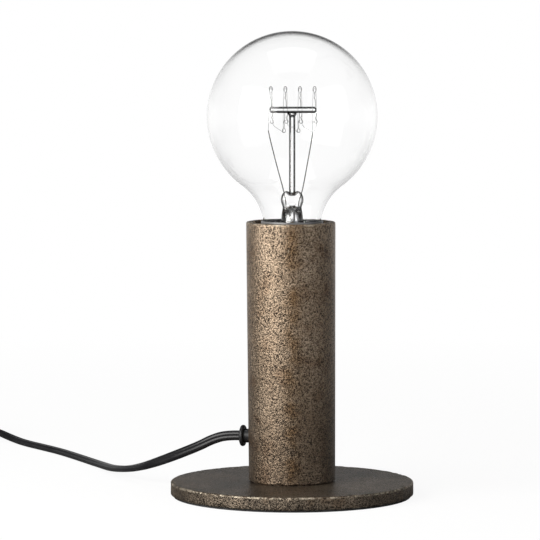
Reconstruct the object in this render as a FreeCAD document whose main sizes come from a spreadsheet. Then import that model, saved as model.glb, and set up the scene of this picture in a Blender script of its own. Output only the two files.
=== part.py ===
import FreeCAD, Part
import math
import os
import Sketcher

from FreeCAD import Placement, Rotation, Vector

doc = FreeCAD.newDocument("bulb_lamp")
sheet = doc.addObject("Spreadsheet::Sheet", "sizes")

# ---------------------------------------------------------------- sizes
# All lengths in millimetres and all angles in degrees. +Z is up, the origin is the middle of the
# underside, and the lamp is seen from -Y.


class Size:
    """A size known both as a number and as a formula of the sheet's cells."""

    def __init__(self, value, formula):
        self.value = float(value)
        self.formula = formula

    def __add__(self, other):
        other = as_size(other)
        return Size(self.value + other.value, f"({self.formula} + {other.formula})")

    def __sub__(self, other):
        other = as_size(other)
        return Size(self.value - other.value, f"({self.formula} - {other.formula})")

    def __mul__(self, factor):
        return Size(self.value * factor, f"({self.formula} * {factor})")

    def __truediv__(self, factor):
        return Size(self.value / factor, f"({self.formula} / {factor})")

    def __neg__(self):
        return self * -1


def as_size(number):
    return number if isinstance(number, Size) else Size(number, str(number))


rows = []


def size(alias, value):
    """One driving size: a cell of the sheet with an alias."""
    rows.append(alias)
    cell = f"B{len(rows)}"
    sheet.set(f"A{len(rows)}", alias)
    sheet.set(cell, str(value))
    sheet.setAlias(cell, alias)
    return Size(value, f"sizes.{alias}")


# the base
base_dia = size("base_dia", 136.0)
base_thick = size("base_thick", 7.2)
base_edge = size("base_edge", 0.7)
pad_thick = size("pad_thick", 1.2)
pad_inset = size("pad_inset", 1.6)
base_screw_count = 3
base_screw_circle = size("base_screw_circle", 26.0)
base_screw_dia = size("base_screw_dia", 4.0)
base_screw_head = size("base_screw_head", 7.0)
base_screw_head_height = size("base_screw_head_height", 2.4)
base_screw_length = size("base_screw_length", 14.0)
screw_gap = size("screw_gap", 0.1)
screw_tip_gap = size("screw_tip_gap", 1.0)

# the cast column
column_height = size("column_height", 145.4)
column_dia = size("column_dia", 49.0)
column_edge = size("column_edge", 0.7)
bore_dia = size("bore_dia", 43.0)
foot_wall = size("foot_wall", 9.0)
ledge_below_rim = size("ledge_below_rim", 65.0)
ledge_thick = size("ledge_thick", 7.0)
ledge_bore = size("ledge_bore", 31.0)
cord_hole_height = size("cord_hole_height", 33.0)
cord_hole_dia = size("cord_hole_dia", 8.2)
cord_hole_swing = size("cord_hole_swing", 14.0)

# the plate and nipple that hold the lampholder
fit_gap = size("fit_gap", 0.3)
plate_thick = size("plate_thick", 2.5)
plate_screw_circle = size("plate_screw_circle", 37.0)
plate_screw_dia = size("plate_screw_dia", 3.0)
plate_screw_head = size("plate_screw_head", 4.8)
plate_screw_head_height = size("plate_screw_head_height", 1.8)
plate_screw_length = size("plate_screw_length", 7.0)
nipple_dia = size("nipple_dia", 10.0)
nipple_bore = size("nipple_bore", 7.4)
nipple_below = size("nipple_below", 5.0)
nut_flats = size("nut_flats", 14.0)
nut_height = size("nut_height", 3.0)

# the lampholder
holder_dia = size("holder_dia", 38.0)
holder_wall = size("holder_wall", 2.2)
holder_base = size("holder_base", 5.0)
cup_height = size("cup_height", 20.5)
cup_step = size("cup_step", 2.2)
insert_thick = size("insert_thick", 16.6)
skirt_height = size("skirt_height", 34.4)
skirt_shoulder = size("skirt_shoulder", 2.6)
skirt_lip = size("skirt_lip", 2.4)
mouth_gap = size("mouth_gap", 0.8)
thread_gap = size("thread_gap", 0.35)
shell_wall = size("shell_wall", 0.4)
shell_height = size("shell_height", 21.5)
contact_thick = size("contact_thick", 0.5)
contact_width = size("contact_width", 5.0)
contact_rise = size("contact_rise", 1.6)
terminal_reach = size("terminal_reach", 9.0)
terminal_hole = size("terminal_hole", 2.8)
terminal_screw_dia = size("terminal_screw_dia", 3.0)
terminal_screw_head = size("terminal_screw_head", 5.0)
terminal_screw_length = size("terminal_screw_length", 7.0)
terminal_head_height = size("terminal_head_height", 1.6)

# the bulb
globe_dia = size("globe_dia", 95.0)
globe_above_tip = size("globe_above_tip", 87.1)
glass_wall = size("glass_wall", 0.7)
neck_dia = size("neck_dia", 31.6)
neck_height = size("neck_height", 24.8)
neck_shoulder = size("neck_shoulder", 4.6)
cement_wall = size("cement_wall", 0.3)
neck_end_height = size("neck_end_height", 16.5)
cap_dia = size("cap_dia", 26.2)
cap_wall = size("cap_wall", 0.4)
cap_bottom = size("cap_bottom", 4.0)
cap_taper = size("cap_taper", 2.4)
cap_height = size("cap_height", 27.1)
cap_flare = size("cap_flare", 3.6)
cap_flare_out = size("cap_flare_out", 1.2)
cap_throat = size("cap_throat", 17.0)
tip_dia = size("tip_dia", 9.2)
tip_thick = size("tip_thick", 1.2)

# the mount inside the bulb
arbor_dia = size("arbor_dia", 3.5)
arbor_socket = size("arbor_socket", 3.0)
bar_height = size("bar_height", 90.8)
bar_dia = size("bar_dia", 3.6)
bar_length = size("bar_length", 26.2)
pinch_top = size("pinch_top", 46.0)
pinch_width = size("pinch_width", 12.6)
pinch_waist = size("pinch_waist", 10.6)
pinch_thick = size("pinch_thick", 6.0)
pinch_height = size("pinch_height", 12.0)
flare_dia = size("flare_dia", 11.6)
flare_wall = size("flare_wall", 0.9)
flare_rise = size("flare_rise", 6.0)
seal_gap = size("seal_gap", 0.1)
exhaust_dia = size("exhaust_dia", 3.4)
exhaust_bore = size("exhaust_bore", 2.2)
exhaust_drop = size("exhaust_drop", 22.0)
hairpin_count = 4
hairpin_spacing = size("hairpin_spacing", 8.06)
hairpin_width = size("hairpin_width", 2.0)
hairpin_depth = size("hairpin_depth", 5.2)
upper_hook_rise = size("upper_hook_rise", 12.2)
lower_hook_drop = size("lower_hook_drop", 7.4)
low_loop_drop = size("low_loop_drop", 12.4)
filament_dia = size("filament_dia", 0.35)
hook_wire = size("hook_wire", 0.4)
hook_eye = size("hook_eye", 1.6)
lead_wire = size("lead_wire", 0.7)
lead_spread = size("lead_spread", 12.8)
lead_top_drop = size("lead_top_drop", 12.2)
lead_gap = size("lead_gap", 6.4)

# the cord and what is on it
cord_dia = size("cord_dia", 5.6)
wire_dia = size("wire_dia", 2.2)
wire_rise = size("wire_rise", 2.6)
wire_end_gap = size("wire_end_gap", 1.0)
grommet_flange = size("grommet_flange", 12.0)
grommet_flange_thick = size("grommet_flange_thick", 1.6)
grommet_neck = size("grommet_neck", 7.8)
grommet_stand_off = size("grommet_stand_off", 3.3)
grommet_lip = size("grommet_lip", 11.0)
grommet_lip_thick = size("grommet_lip_thick", 1.5)
cord_bore_gap = size("cord_bore_gap", 0.2)
switch_length = size("switch_length", 56.0)
switch_width = size("switch_width", 22.0)
switch_base_height = size("switch_base_height", 7.0)
switch_cover_height = size("switch_cover_height", 7.6)
switch_cord_height = size("switch_cord_height", 7.0)
switch_edge = size("switch_edge", 1.4)
rocker_length = size("rocker_length", 14.0)
rocker_width = size("rocker_width", 8.6)
rocker_gap = size("rocker_gap", 0.5)
rocker_angle = size("rocker_angle", 9.0)
rocker_rise = size("rocker_rise", 2.6)
rocker_pin = size("rocker_pin", 2.0)
switch_screw_dia = size("switch_screw_dia", 2.4)
switch_screw_head = size("switch_screw_head", 4.4)
switch_screw_head_height = size("switch_screw_head_height", 1.4)
switch_screw_sink = size("switch_screw_sink", 0.4)
switch_screw_length = size("switch_screw_length", 11.2)
switch_screw_reach = size("switch_screw_reach", 8.0)
switch_narrow = size("switch_narrow", 13.2)
rocker_sink = size("rocker_sink", 2.6)
rocker_depth = size("rocker_depth", 4.4)
rocker_dip = size("rocker_dip", 1.1)
rocker_play = size("rocker_play", 0.15)
well_gap = size("well_gap", 0.6)
pin_seat = size("pin_seat", 1.5)
contact_strip_length = size("contact_strip_length", 5.0)
contact_strip_width = size("contact_strip_width", 4.0)
contact_strip_reach = size("contact_strip_reach", 4.6)
coil_radius = size("coil_radius", 36.0)
coil_pitch = size("coil_pitch", 6.3)
coil_layer = size("coil_layer", 6.2)
coil_lift = size("coil_lift", 0.9)
coil_draw = size("coil_draw", 1.3)
coil_inward_half_turns = 5
coil_outward_half_turns = 4
tie_width = size("tie_width", 4.0)
tie_thick = size("tie_thick", 0.6)
tie_gap = size("tie_gap", 0.1)
plug_length = size("plug_length", 34.0)
plug_width = size("plug_width", 34.0)
plug_neck_width = size("plug_neck_width", 14.0)
plug_thick = size("plug_thick", 13.6)
plug_round = size("plug_round", 3.0)
pin_spacing = size("pin_spacing", 18.6)
pin_dia = size("pin_dia", 4.0)
pin_length = size("pin_length", 19.0)
pin_sink = size("pin_sink", 6.0)

doc.recompute()

# ---------------------------------------------------------------- fits, heights and places
cap_flare_dia = cap_dia + cap_flare_out * 2
neck_end_dia = cap_dia - cap_wall * 2 - cement_wall * 2 - screw_gap * 4
shell_bore = cap_dia + thread_gap * 2
skirt_mouth = cap_flare_dia + mouth_gap * 2
disc_top = pad_thick + base_thick
rim_z = disc_top + column_height
ledge_z = rim_z - ledge_below_rim
plate_top = ledge_z + plate_thick
cup_z = plate_top + nut_height
cup_top = cup_z + cup_height
insert_top = cup_top + insert_thick - (cup_height - holder_base) / 2
insert_z = insert_top - insert_thick
skirt_top = cup_top + skirt_height
tip_z = insert_top + contact_rise
globe_z = tip_z + globe_above_tip
bar_z = tip_z + bar_height
pinch_z = tip_z + pinch_top
hole_z = cord_hole_height
hole_direction = Vector(-math.cos(math.radians(cord_hole_swing.value)),
                        math.sin(math.radians(cord_hole_swing.value)), 0)

node_names = []


def keep(label, thing):
    """Give a finished sub-part its label, which also names its file."""
    thing.Label = label
    node_names.append((label, thing))
    return thing


# ---------------------------------------------------------------- helpers for turned and cut pieces
def origin_plane(body, role):
    return next(f for f in body.Origin.OriginFeatures if f.Role == role)


def sketch_on(body, name, role):
    sketch = body.newObject("Sketcher::SketchObject", name)
    sketch.AttachmentSupport = [(origin_plane(body, role), "")]
    sketch.MapMode = "FlatFace"
    return sketch


def pin_coordinate(sketch, line, axis, place):
    """Hold one coordinate of a line's start point to a size."""
    if place.value == 0:
        other_axis = -2 if axis == "DistanceX" else -1
        sketch.addConstraint(Sketcher.Constraint("PointOnObject", line, 1, other_axis))
        return
    number = sketch.addConstraint(Sketcher.Constraint(axis, -1, 1, line, 1, place.value))
    sketch.setExpression(f"Constraints[{number}]", place.formula)


def outline(sketch, points):
    """A closed outline of straight lines through points given as pairs of sizes."""
    points = [(as_size(a), as_size(b)) for a, b in points]
    count = len(points)
    for i, (a, b) in enumerate(points):
        c, d = points[(i + 1) % count]
        start = Vector(a.value, b.value, 0)
        sketch.addGeometry(Part.LineSegment(start, Vector(c.value, d.value, 0)), False)
    for i in range(count):
        sketch.addConstraint(Sketcher.Constraint("Coincident", i, 2, (i + 1) % count, 1))
    for i, (a, b) in enumerate(points):
        pin_coordinate(sketch, i, "DistanceX", a)
        pin_coordinate(sketch, i, "DistanceY", b)


def put_at(thing, x, y, z):
    for axis, place in (("x", x), ("y", y), ("z", z)):
        thing.setExpression(f"Placement.Base.{axis}", as_size(place).formula)
    return thing


def cylinder(name, dia, height, x=0, y=0, z=0):
    """A true round bar standing on z."""
    rod = doc.addObject("Part::Cylinder", name)
    rod.setExpression("Radius", (dia / 2).formula)
    rod.setExpression("Height", height.formula)
    return put_at(rod, x, y, z)


# Hidden rounds are many-sided bars. A hole and what fills it have the same number of sides.
screw_sides = 12
pipe_sides = 20
holder_sides = 28
base_sides = 60
column_sides = 48


def sided_bar(name, sides, dia, height, x=0, y=0, z=0):
    """A many-sided bar standing on z, with its corners on the diameter."""
    prism = doc.addObject("Part::Prism", name)
    prism.Polygon = sides
    prism.setExpression("Circumradius", (dia / 2).formula)
    prism.setExpression("Height", height.formula)
    return put_at(prism, x, y, z)


def ring_points(radius, height, sides):
    return [Vector(radius * math.cos(2 * math.pi * k / sides),
                   radius * math.sin(2 * math.pi * k / sides), height) for k in range(sides)]


def flat_face(corners):
    return Part.Face(Part.makePolygon(corners + corners[:1]))


def ring_of_facets(points, sides):
    """A turned form of flat facets, from a closed half section of (radius, height) pairs."""
    levels = [[Vector(a.value, 0, b.value)] if a.value == 0
              else ring_points(a.value, b.value, sides)
              for a, b in ((as_size(a), as_size(b)) for a, b in points)]
    faces = []
    for upper, lower in zip(levels, levels[1:] + levels[:1]):
        if len(upper) == 1 and len(lower) == 1:
            continue
        if len(upper) == 1 or len(lower) == 1:
            faces.append(flat_face(max(upper, lower, key=len)))
            continue
        for k in range(sides):
            n = (k + 1) % sides
            faces.append(flat_face([upper[k], upper[n], lower[n], lower[k]]))
    solid = Part.Solid(Part.Shell(faces))
    return solid if solid.Volume > 0 else solid.reversed()


def joined(name, shapes):
    fuse = doc.addObject("Part::MultiFuse", name)
    fuse.Shapes = shapes
    fuse.Refine = True
    return fuse


def cut(name, base, tool):
    result = doc.addObject("Part::Cut", name)
    result.Base = base
    result.Tool = tool
    return result


def group(name, shapes):
    """Like pieces kept as separate solids of one node."""
    together = doc.addObject("Part::Compound", name)
    together.Links = shapes
    return together


def shaped(name, shape, placement=Placement()):
    """A sub-part whose shape is made by Part's own functions."""
    feature = doc.addObject("Part::Feature", name)
    feature.Shape = shape
    feature.Placement = placement
    return feature


# ---------------------------------------------------------------- helpers for cords and wires
def route_wire(points):
    """Straight runs joined by tangent arcs; returns the wire and the arcs' radii."""
    edges = []
    radii = []
    start = points[0]
    for before, corner, after in zip(points, points[1:], points[2:]):
        to_corner = (corner - before).normalize()
        from_corner = (after - corner).normalize()
        half_turn = to_corner.getAngle(from_corner) / 2
        reach = 0.45 * min((corner - before).Length, (after - corner).Length)
        radius = reach / math.tan(half_turn)
        radii.append(radius)
        enter = corner - to_corner * reach
        leave = corner + from_corner * reach
        inward = (from_corner - to_corner).normalize()
        centre = corner + inward * (radius / math.cos(half_turn))
        middle = centre - inward * radius
        edges.append(Part.LineSegment(start, enter).toShape())
        edges.append(Part.Arc(enter, middle, leave).toShape())
        start = leave
    edges.append(Part.LineSegment(start, points[-1]).toShape())
    return Part.Wire(edges), radii


cord_sides = 4


def flat_sided_section(centre, direction, diameter):
    """A regular polygon square to the direction, flat side down, with its corners on the diameter."""
    across = direction.cross(Vector(0, 0, 1)).normalize()
    up = across.cross(direction).normalize()
    corners = []
    for k in range(cord_sides):
        angle = 2 * math.pi * (k + 0.5) / cord_sides
        corners.append(centre + (across * math.cos(angle) + up * math.sin(angle)) * (diameter / 2))
    return Part.makePolygon(corners + corners[:1])


def tube_along(label, points, diameter):
    """A plain flat-sided tube along a route of hand-set points."""
    path, radii = route_wire(points)
    section = flat_sided_section(points[0], (points[1] - points[0]).normalize(), diameter.value)
    tube = path.makePipeShell([section], True, False)
    ratio = tube.Volume / (path.Length * Part.Face(section).Area)
    listed = ", ".join(f"{r:.0f}" for r in radii)
    print(f"{label}: {path.Length:.1f} mm long, radii {listed}, volume {ratio:.4f} of section x length")
    return tube


def mitred_wire(points, width, sides=4):
    """A fine bent wire: flat-sided, with mitred bends."""
    runs = [(b - a).normalize() for a, b in zip(points, points[1:])]
    across = runs[0].cross(Vector(0, 1, 0) if abs(runs[0].y) < 0.9 else Vector(1, 0, 0)).normalize()
    other = runs[0].cross(across)
    radius = width.value / 2 / math.cos(math.pi / sides)
    turns = [2 * math.pi * (k + 0.5) / sides for k in range(sides)]
    section = [points[0] + (across * math.cos(t) + other * math.sin(t)) * radius for t in turns]
    faces = [Part.Face(Part.makePolygon(section + section[:1]))]
    for i, run in enumerate(runs):
        normal = run + runs[i + 1] if i + 1 < len(runs) else run
        moved = [p + run * ((points[i + 1] - p).dot(normal) / run.dot(normal)) for p in section]
        for k in range(sides):
            n = (k + 1) % sides
            faces.append(Part.Face(Part.makePolygon(
                [section[k], section[n], moved[n], moved[k], section[k]])))
        section = moved
    faces.append(Part.Face(Part.makePolygon(section + section[:1])))
    solid = Part.Solid(Part.Shell(faces))
    return solid if solid.Volume > 0 else solid.reversed()


def half_turn_arcs(start, end, heading):
    """The two quarter arcs of a half turn that leaves start along heading and ends against it."""
    reach = (end - start).Length / 2
    first_corner = start + heading * reach
    last_corner = end + heading * reach
    middle = (first_corner + last_corner) * 0.5
    arcs = []
    for a, corner, b in ((start, first_corner, middle), (middle, last_corner, end)):
        inward = ((a + b) * 0.5 - corner).normalize()
        half = (corner - a).getAngle(b - corner) / 2
        radius = (corner - a).Length / math.tan(half)
        centre = corner + inward * (radius / math.cos(half))
        arcs.append(Part.Arc(a, centre - inward * radius, b).toShape())
    return arcs


# ---------------------------------------------------------------- base and column
def make_base_pad():
    """The thin dark pad glued under the base, clear of its edge."""
    return keep("base_pad", sided_bar("base_pad", base_sides, base_dia - pad_inset * 2, pad_thick))


def screw_places(circle, count, start_degrees):
    return [(circle * (math.cos(math.radians(start_degrees + 360 * i / count)) / 2),
             circle * (math.sin(math.radians(start_degrees + 360 * i / count)) / 2))
            for i in range(count)]


base_screw_places = screw_places(base_screw_circle, base_screw_count, 90)


def make_base_disc():
    """The cast disc, with counterbored holes beneath for the column's screws."""
    section = [(0, pad_thick), (base_dia / 2, pad_thick), (base_dia / 2, disc_top - base_edge),
               (base_dia / 2 - base_edge, disc_top), (0, disc_top)]
    disc = shaped("disc_cast", ring_of_facets(section, base_sides))
    for i, (x, y) in enumerate(base_screw_places):
        hole = sided_bar(f"disc_hole_{i}", screw_sides, base_screw_dia + screw_gap * 2, base_thick,
                         x, y, pad_thick)
        sink = sided_bar(f"disc_sink_{i}", screw_sides, base_screw_head + screw_gap * 2,
                         base_screw_head_height, x, y, pad_thick)
        disc = cut(f"disc_drilled_{i}", disc, joined(f"disc_drill_{i}", [hole, sink]))
    return keep("base_disc", disc)


def make_base_screws():
    """Sunk screws from beneath, through the disc into the column's foot."""
    screws = []
    for i, (x, y) in enumerate(base_screw_places):
        shank = sided_bar(f"base_shank_{i}", screw_sides, base_screw_dia, base_screw_length,
                          x, y, pad_thick)
        head = sided_bar(f"base_head_{i}", screw_sides, base_screw_head, base_screw_head_height,
                         x, y, pad_thick)
        screws.append(joined(f"base_screw_{i}", [shank, head]))
    return keep("base_screws", group("base_screws", screws))


plate_screw_places = screw_places(plate_screw_circle, 2, 0)


def make_column():
    """The cast tube: a closed foot, a cord hole and a ledge that carries the holder plate."""
    foot_top = disc_top + foot_wall
    ledge_bottom = ledge_z - ledge_thick
    section = [(0, disc_top), (column_dia / 2, disc_top), (column_dia / 2, rim_z - column_edge),
               (column_dia / 2 - column_edge, rim_z), (0, rim_z)]
    body = shaped("column_cast", ring_of_facets(section, column_sides))
    hollow = joined("column_hollow", [
        sided_bar("mouth_bore", holder_sides, bore_dia, ledge_below_rim, 0, 0, ledge_z),
        sided_bar("ledge_hole", holder_sides, ledge_bore, ledge_thick, 0, 0, ledge_bottom),
        sided_bar("foot_bore", holder_sides, bore_dia, ledge_bottom - foot_top, 0, 0, foot_top)])
    column = cut("column_bored", body, hollow)
    depth = base_screw_length - base_thick + screw_tip_gap
    for i, (x, y) in enumerate(base_screw_places):
        hole = sided_bar(f"foot_hole_{i}", screw_sides, base_screw_dia + screw_gap * 2, depth,
                         x, y, disc_top)
        column = cut(f"column_foot_{i}", column, hole)
    depth = plate_screw_length - plate_thick + screw_tip_gap
    for i, (x, y) in enumerate(plate_screw_places):
        hole = sided_bar(f"ledge_hole_{i}", screw_sides, plate_screw_dia + screw_gap * 2, depth,
                         x, y, ledge_z - depth)
        column = cut(f"column_ledge_{i}", column, hole)
    side = doc.addObject("Part::Cylinder", "side_hole")
    side.setExpression("Radius", (cord_hole_dia / 2).formula)
    side.setExpression("Height", (column_dia / 2).formula)
    side.Placement = Placement(Vector(0, 0, hole_z.value), Rotation(Vector(0, 0, 1), hole_direction))
    side.setExpression("Placement.Base.z", hole_z.formula)
    return keep("column_tube", cut("column_tube", column, side))


# ---------------------------------------------------------------- grommet
def along_hole(distance, drop=0.0):
    """A point on the cord hole's axis at this distance from the column's axis."""
    return hole_direction * distance + Vector(0, 0, hole_z.value - drop)


wall_outside = column_dia.value / 2
wall_inside = bore_dia.value / 2
flange_inner = wall_outside + grommet_stand_off.value
flange_outer = flange_inner + grommet_flange_thick.value


def make_grommet():
    """The black bush in the side hole, with a lip inside the wall and a flange standing off it."""
    bore = cord_dia.value / 2 + cord_bore_gap.value
    neck = grommet_neck.value / 2
    lip = grommet_lip.value / 2
    flange = grommet_flange.value / 2
    edge = grommet_flange_thick.value / 4
    lip_seat = math.sqrt(wall_inside ** 2 - lip ** 2) - fit_gap.value
    lip_end = lip_seat - grommet_lip_thick.value
    section = [(bore, lip_end), (lip, lip_end), (lip, lip_seat), (neck, lip_seat),
               (neck, flange_inner), (flange - edge, flange_inner), (flange, flange_inner + edge),
               (flange, flange_outer - edge), (flange - edge, flange_outer), (bore, flange_outer)]
    solid = ring_of_facets(section, pipe_sides)
    place = Placement(Vector(0, 0, hole_z.value), Rotation(Vector(0, 0, 1), hole_direction))
    return keep("cord_grommet", shaped("cord_grommet", solid, place))


# ---------------------------------------------------------------- plate, nipple and nuts
def make_plate():
    """The steel disc on the column's ledge, which the nipple passes through."""
    plate = sided_bar("plate_blank", holder_sides, bore_dia - fit_gap * 2, plate_thick,
                      0, 0, ledge_z)
    plate = cut("plate_bored", plate, sided_bar("plate_bore", pipe_sides,
                                                nipple_dia + screw_gap * 2, plate_thick,
                                                0, 0, ledge_z))
    for i, (x, y) in enumerate(plate_screw_places):
        hole = sided_bar(f"plate_hole_{i}", screw_sides, plate_screw_dia + screw_gap * 2,
                         plate_thick, x, y, ledge_z)
        plate = cut(f"plate_drilled_{i}", plate, hole)
    return keep("holder_plate", plate)


def make_plate_screws():
    screws = []
    for i, (x, y) in enumerate(plate_screw_places):
        shank = sided_bar(f"plate_shank_{i}", screw_sides, plate_screw_dia, plate_screw_length,
                          x, y, plate_top - plate_screw_length)
        head = sided_bar(f"plate_head_{i}", screw_sides, plate_screw_head,
                         plate_screw_head_height, x, y, plate_top)
        screws.append(joined(f"plate_screw_{i}", [shank, head]))
    return keep("plate_screws", group("plate_screws", screws))


nipple_z = ledge_z - nut_height - nipple_below
nipple_length = nipple_below + nut_height * 2 + plate_thick + holder_base


def make_nipple():
    """The hollow threaded pipe between plate and lampholder, which the cord runs through."""
    pipe = sided_bar("nipple_pipe", pipe_sides, nipple_dia, nipple_length, 0, 0, nipple_z)
    bore = sided_bar("nipple_hole", pipe_sides, nipple_bore, nipple_length, 0, 0, nipple_z)
    return keep("nipple", cut("nipple", pipe, bore))


def make_nuts():
    """One nut under the plate and one above it, which also seats the lampholder."""
    nuts = []
    for i, z in enumerate((ledge_z - nut_height, plate_top)):
        blank = sided_bar(f"nut_blank_{i}", 6, nut_flats * 2 / math.sqrt(3), nut_height, 0, 0, z)
        hole = sided_bar(f"nut_hole_{i}", pipe_sides, nipple_dia + screw_gap * 2, nut_height,
                         0, 0, z)
        nuts.append(cut(f"nut_{i}", blank, hole))
    return keep("nipple_nuts", group("nipple_nuts", nuts))


# ---------------------------------------------------------------- lampholder
cup_bore = holder_dia - holder_wall * 2
insert_dia = cup_bore - fit_gap


def make_holder_cup():
    """The lampholder's cup: a bored base, a step that carries the insert, and the wall round it."""
    wall = sided_bar("cup_blank", holder_sides, holder_dia, cup_height, 0, 0, cup_z)
    hollow = joined("cup_hollow", [
        sided_bar("cup_hole", pipe_sides, nipple_dia + screw_gap * 2, holder_base, 0, 0, cup_z),
        sided_bar("cup_room", holder_sides, cup_bore - cup_step * 2,
                  cup_height - holder_base, 0, 0, cup_z + holder_base),
        sided_bar("cup_seat", holder_sides, cup_bore, cup_top - insert_z, 0, 0, insert_z)])
    return keep("holder_cup", cut("holder_cup", wall, hollow))


def make_holder_skirt():
    """The sleeve above the cup, with a shoulder on the insert and a mouth round the bulb's cap."""
    shoulder = shell_bore + shell_wall * 2 + fit_gap * 2
    shoulder_top = insert_top + skirt_shoulder
    wall = sided_bar("skirt_blank", holder_sides, holder_dia, skirt_height, 0, 0, cup_top)
    hollow = joined("skirt_hollow", [
        sided_bar("skirt_seat", holder_sides, cup_bore, insert_top - cup_top, 0, 0, cup_top),
        sided_bar("skirt_shoulder_hole", holder_sides, shoulder, skirt_shoulder, 0, 0, insert_top),
        sided_bar("skirt_bore", holder_sides, cup_bore, skirt_top - skirt_lip - shoulder_top,
                  0, 0, shoulder_top),
        sided_bar("skirt_opening", holder_sides, skirt_mouth, skirt_lip,
                  0, 0, skirt_top - skirt_lip)])
    return keep("holder_skirt", cut("holder_skirt", wall, hollow))


def make_insert():
    """The ceramic block that carries the contacts, with two wire holes and two screw holes."""
    block = sided_bar("insert_block", holder_sides, insert_dia, insert_thick, 0, 0, insert_z)
    wire_depth = insert_thick / 2
    screw_depth = terminal_screw_length + screw_tip_gap
    for side in (1, -1):
        hole = sided_bar(f"wire_hole_{side + 1}", screw_sides, terminal_hole, wire_depth,
                         terminal_reach * side, 0, insert_z)
        block = cut(f"insert_wire_{side + 1}", block, hole)
        hole = sided_bar(f"screw_hole_{side + 1}", screw_sides,
                         terminal_screw_dia + screw_gap * 2, screw_depth,
                         0, terminal_reach * side, insert_z)
        block = cut(f"insert_screw_{side + 1}", block, hole)
    return keep("holder_insert", block)


def make_terminal_screws():
    screws = []
    for side in (1, -1):
        shank = sided_bar(f"terminal_shank_{side + 1}", screw_sides, terminal_screw_dia,
                          terminal_screw_length, 0, terminal_reach * side, insert_z)
        head = sided_bar(f"terminal_head_{side + 1}", screw_sides, terminal_screw_head,
                         terminal_head_height, 0, terminal_reach * side,
                         insert_z - terminal_head_height)
        screws.append(joined(f"terminal_screw_{side + 1}", [shank, head]))
    return keep("terminal_screws", group("terminal_screws", screws))


def make_screw_shell():
    """The brass shell that the bulb's cap turns in."""
    wall = sided_bar("shell_blank", holder_sides, shell_bore + shell_wall * 2, shell_height,
                     0, 0, insert_top)
    bore = sided_bar("shell_hole", holder_sides, shell_bore, shell_height, 0, 0, insert_top)
    return keep("screw_shell", cut("screw_shell", wall, bore))


def make_centre_contact():
    """The spring strip under the bulb: a foot on the insert, a slope and a pad under the tip."""
    foot = shell_bore / 2 - fit_gap * 2
    pad = tip_dia / 2
    top = contact_rise
    thick = contact_thick
    body = doc.addObject("PartDesign::Body", "centre_contact")
    sketch = sketch_on(body, "contact_side", "XZ_Plane")
    low = insert_top
    outline(sketch, [
        (-foot, low), (-pad * 1.6, low), (-pad, low + top - thick), (pad, low + top - thick),
        (pad, low + top), (-pad, low + top), (-pad * 1.6 - thick / 2, low + thick),
        (-foot, low + thick)])
    pad_feature = body.newObject("PartDesign::Pad", "contact_strip")
    pad_feature.Profile = sketch
    pad_feature.Midplane = True
    pad_feature.setExpression("Length", contact_width.formula)
    doc.recompute()
    return keep("centre_contact", body)


# ---------------------------------------------------------------- bulb
def globe_rings(inset):
    """(radius, height) rings of the glass, top to bottom: globe, hollow neck curve, shoulder, end."""
    globe = globe_dia.value / 2
    waist = neck_dia.value / 2
    waist_z = tip_z.value + neck_height.value
    centre_z = globe_z.value
    rise = centre_z - waist_z
    curve = (waist ** 2 + rise ** 2 - globe ** 2) / (2 * (globe - waist))
    far = waist + curve
    meet = math.atan2(rise, far)
    rings = []
    globe_steps = 10
    first = math.radians(6)
    last = math.pi / 2 + meet
    for i in range(globe_steps + 1):
        angle = first + (last - first) * i / globe_steps
        r = globe - inset
        rings.append((r * math.sin(angle), centre_z + r * math.cos(angle)))
    neck_steps = 3
    shoulder_z = tip_z.value + cap_height.value + neck_shoulder.value / 2
    low = math.asin((shoulder_z - waist_z) / curve)
    for i in range(1, neck_steps + 1):
        angle = meet + (low - meet) * i / neck_steps
        r = curve + inset
        rings.append((far - r * math.cos(angle), waist_z + r * math.sin(angle)))
    throat = neck_end_dia.value / 2 - inset
    cap_rest = tip_z.value + cap_height.value + fit_gap.value + inset
    rings.append((cap_flare_dia.value / 2 - inset, cap_rest))
    rings.append((throat, cap_rest))
    rings.append((throat, tip_z.value + neck_end_height.value))
    return rings


def faceted_turn(rings, sides):
    """A closed form through level rings, of flat facets."""
    levels = [ring_points(radius, height, sides) for radius, height in rings]
    faces = [flat_face(levels[0]), flat_face(levels[-1])]
    for upper, lower in zip(levels, levels[1:]):
        for k in range(sides):
            n = (k + 1) % sides
            faces.append(flat_face([upper[k], upper[n], lower[n], lower[k]]))
    shell = Part.Shell(faces)
    solid = Part.Solid(shell)
    return solid if solid.Volume > 0 else solid.reversed()


globe_sides = 24


def make_bulb_glass():
    """The globe and its neck, an even thin wall, open at the bottom for the stem."""
    outer = faceted_turn(globe_rings(0), globe_sides)
    inner = faceted_turn(globe_rings(glass_wall.value), globe_sides)
    return keep("bulb_glass", shaped("bulb_glass", outer.cut(inner)))


cap_low = tip_z + cap_bottom
cap_high = tip_z + cap_height


def make_bulb_cap():
    """The thin brass cap: tapered bottom, screw part, and a flared rim round the glass."""
    inside = cap_dia / 2 - cap_wall
    floor = cap_low + cap_taper + cap_wall
    section = [(cap_throat / 2, cap_low), (cap_dia / 2 - cap_taper, cap_low),
               (cap_dia / 2, cap_low + cap_taper), (cap_dia / 2, cap_high - cap_flare),
               (cap_flare_dia / 2, cap_high), (cap_flare_dia / 2 - cap_wall, cap_high),
               (inside, cap_high - cap_flare), (inside, floor), (cap_throat / 2, floor)]
    return keep("bulb_cap", shaped("bulb_cap", ring_of_facets(section, holder_sides)))


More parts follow.
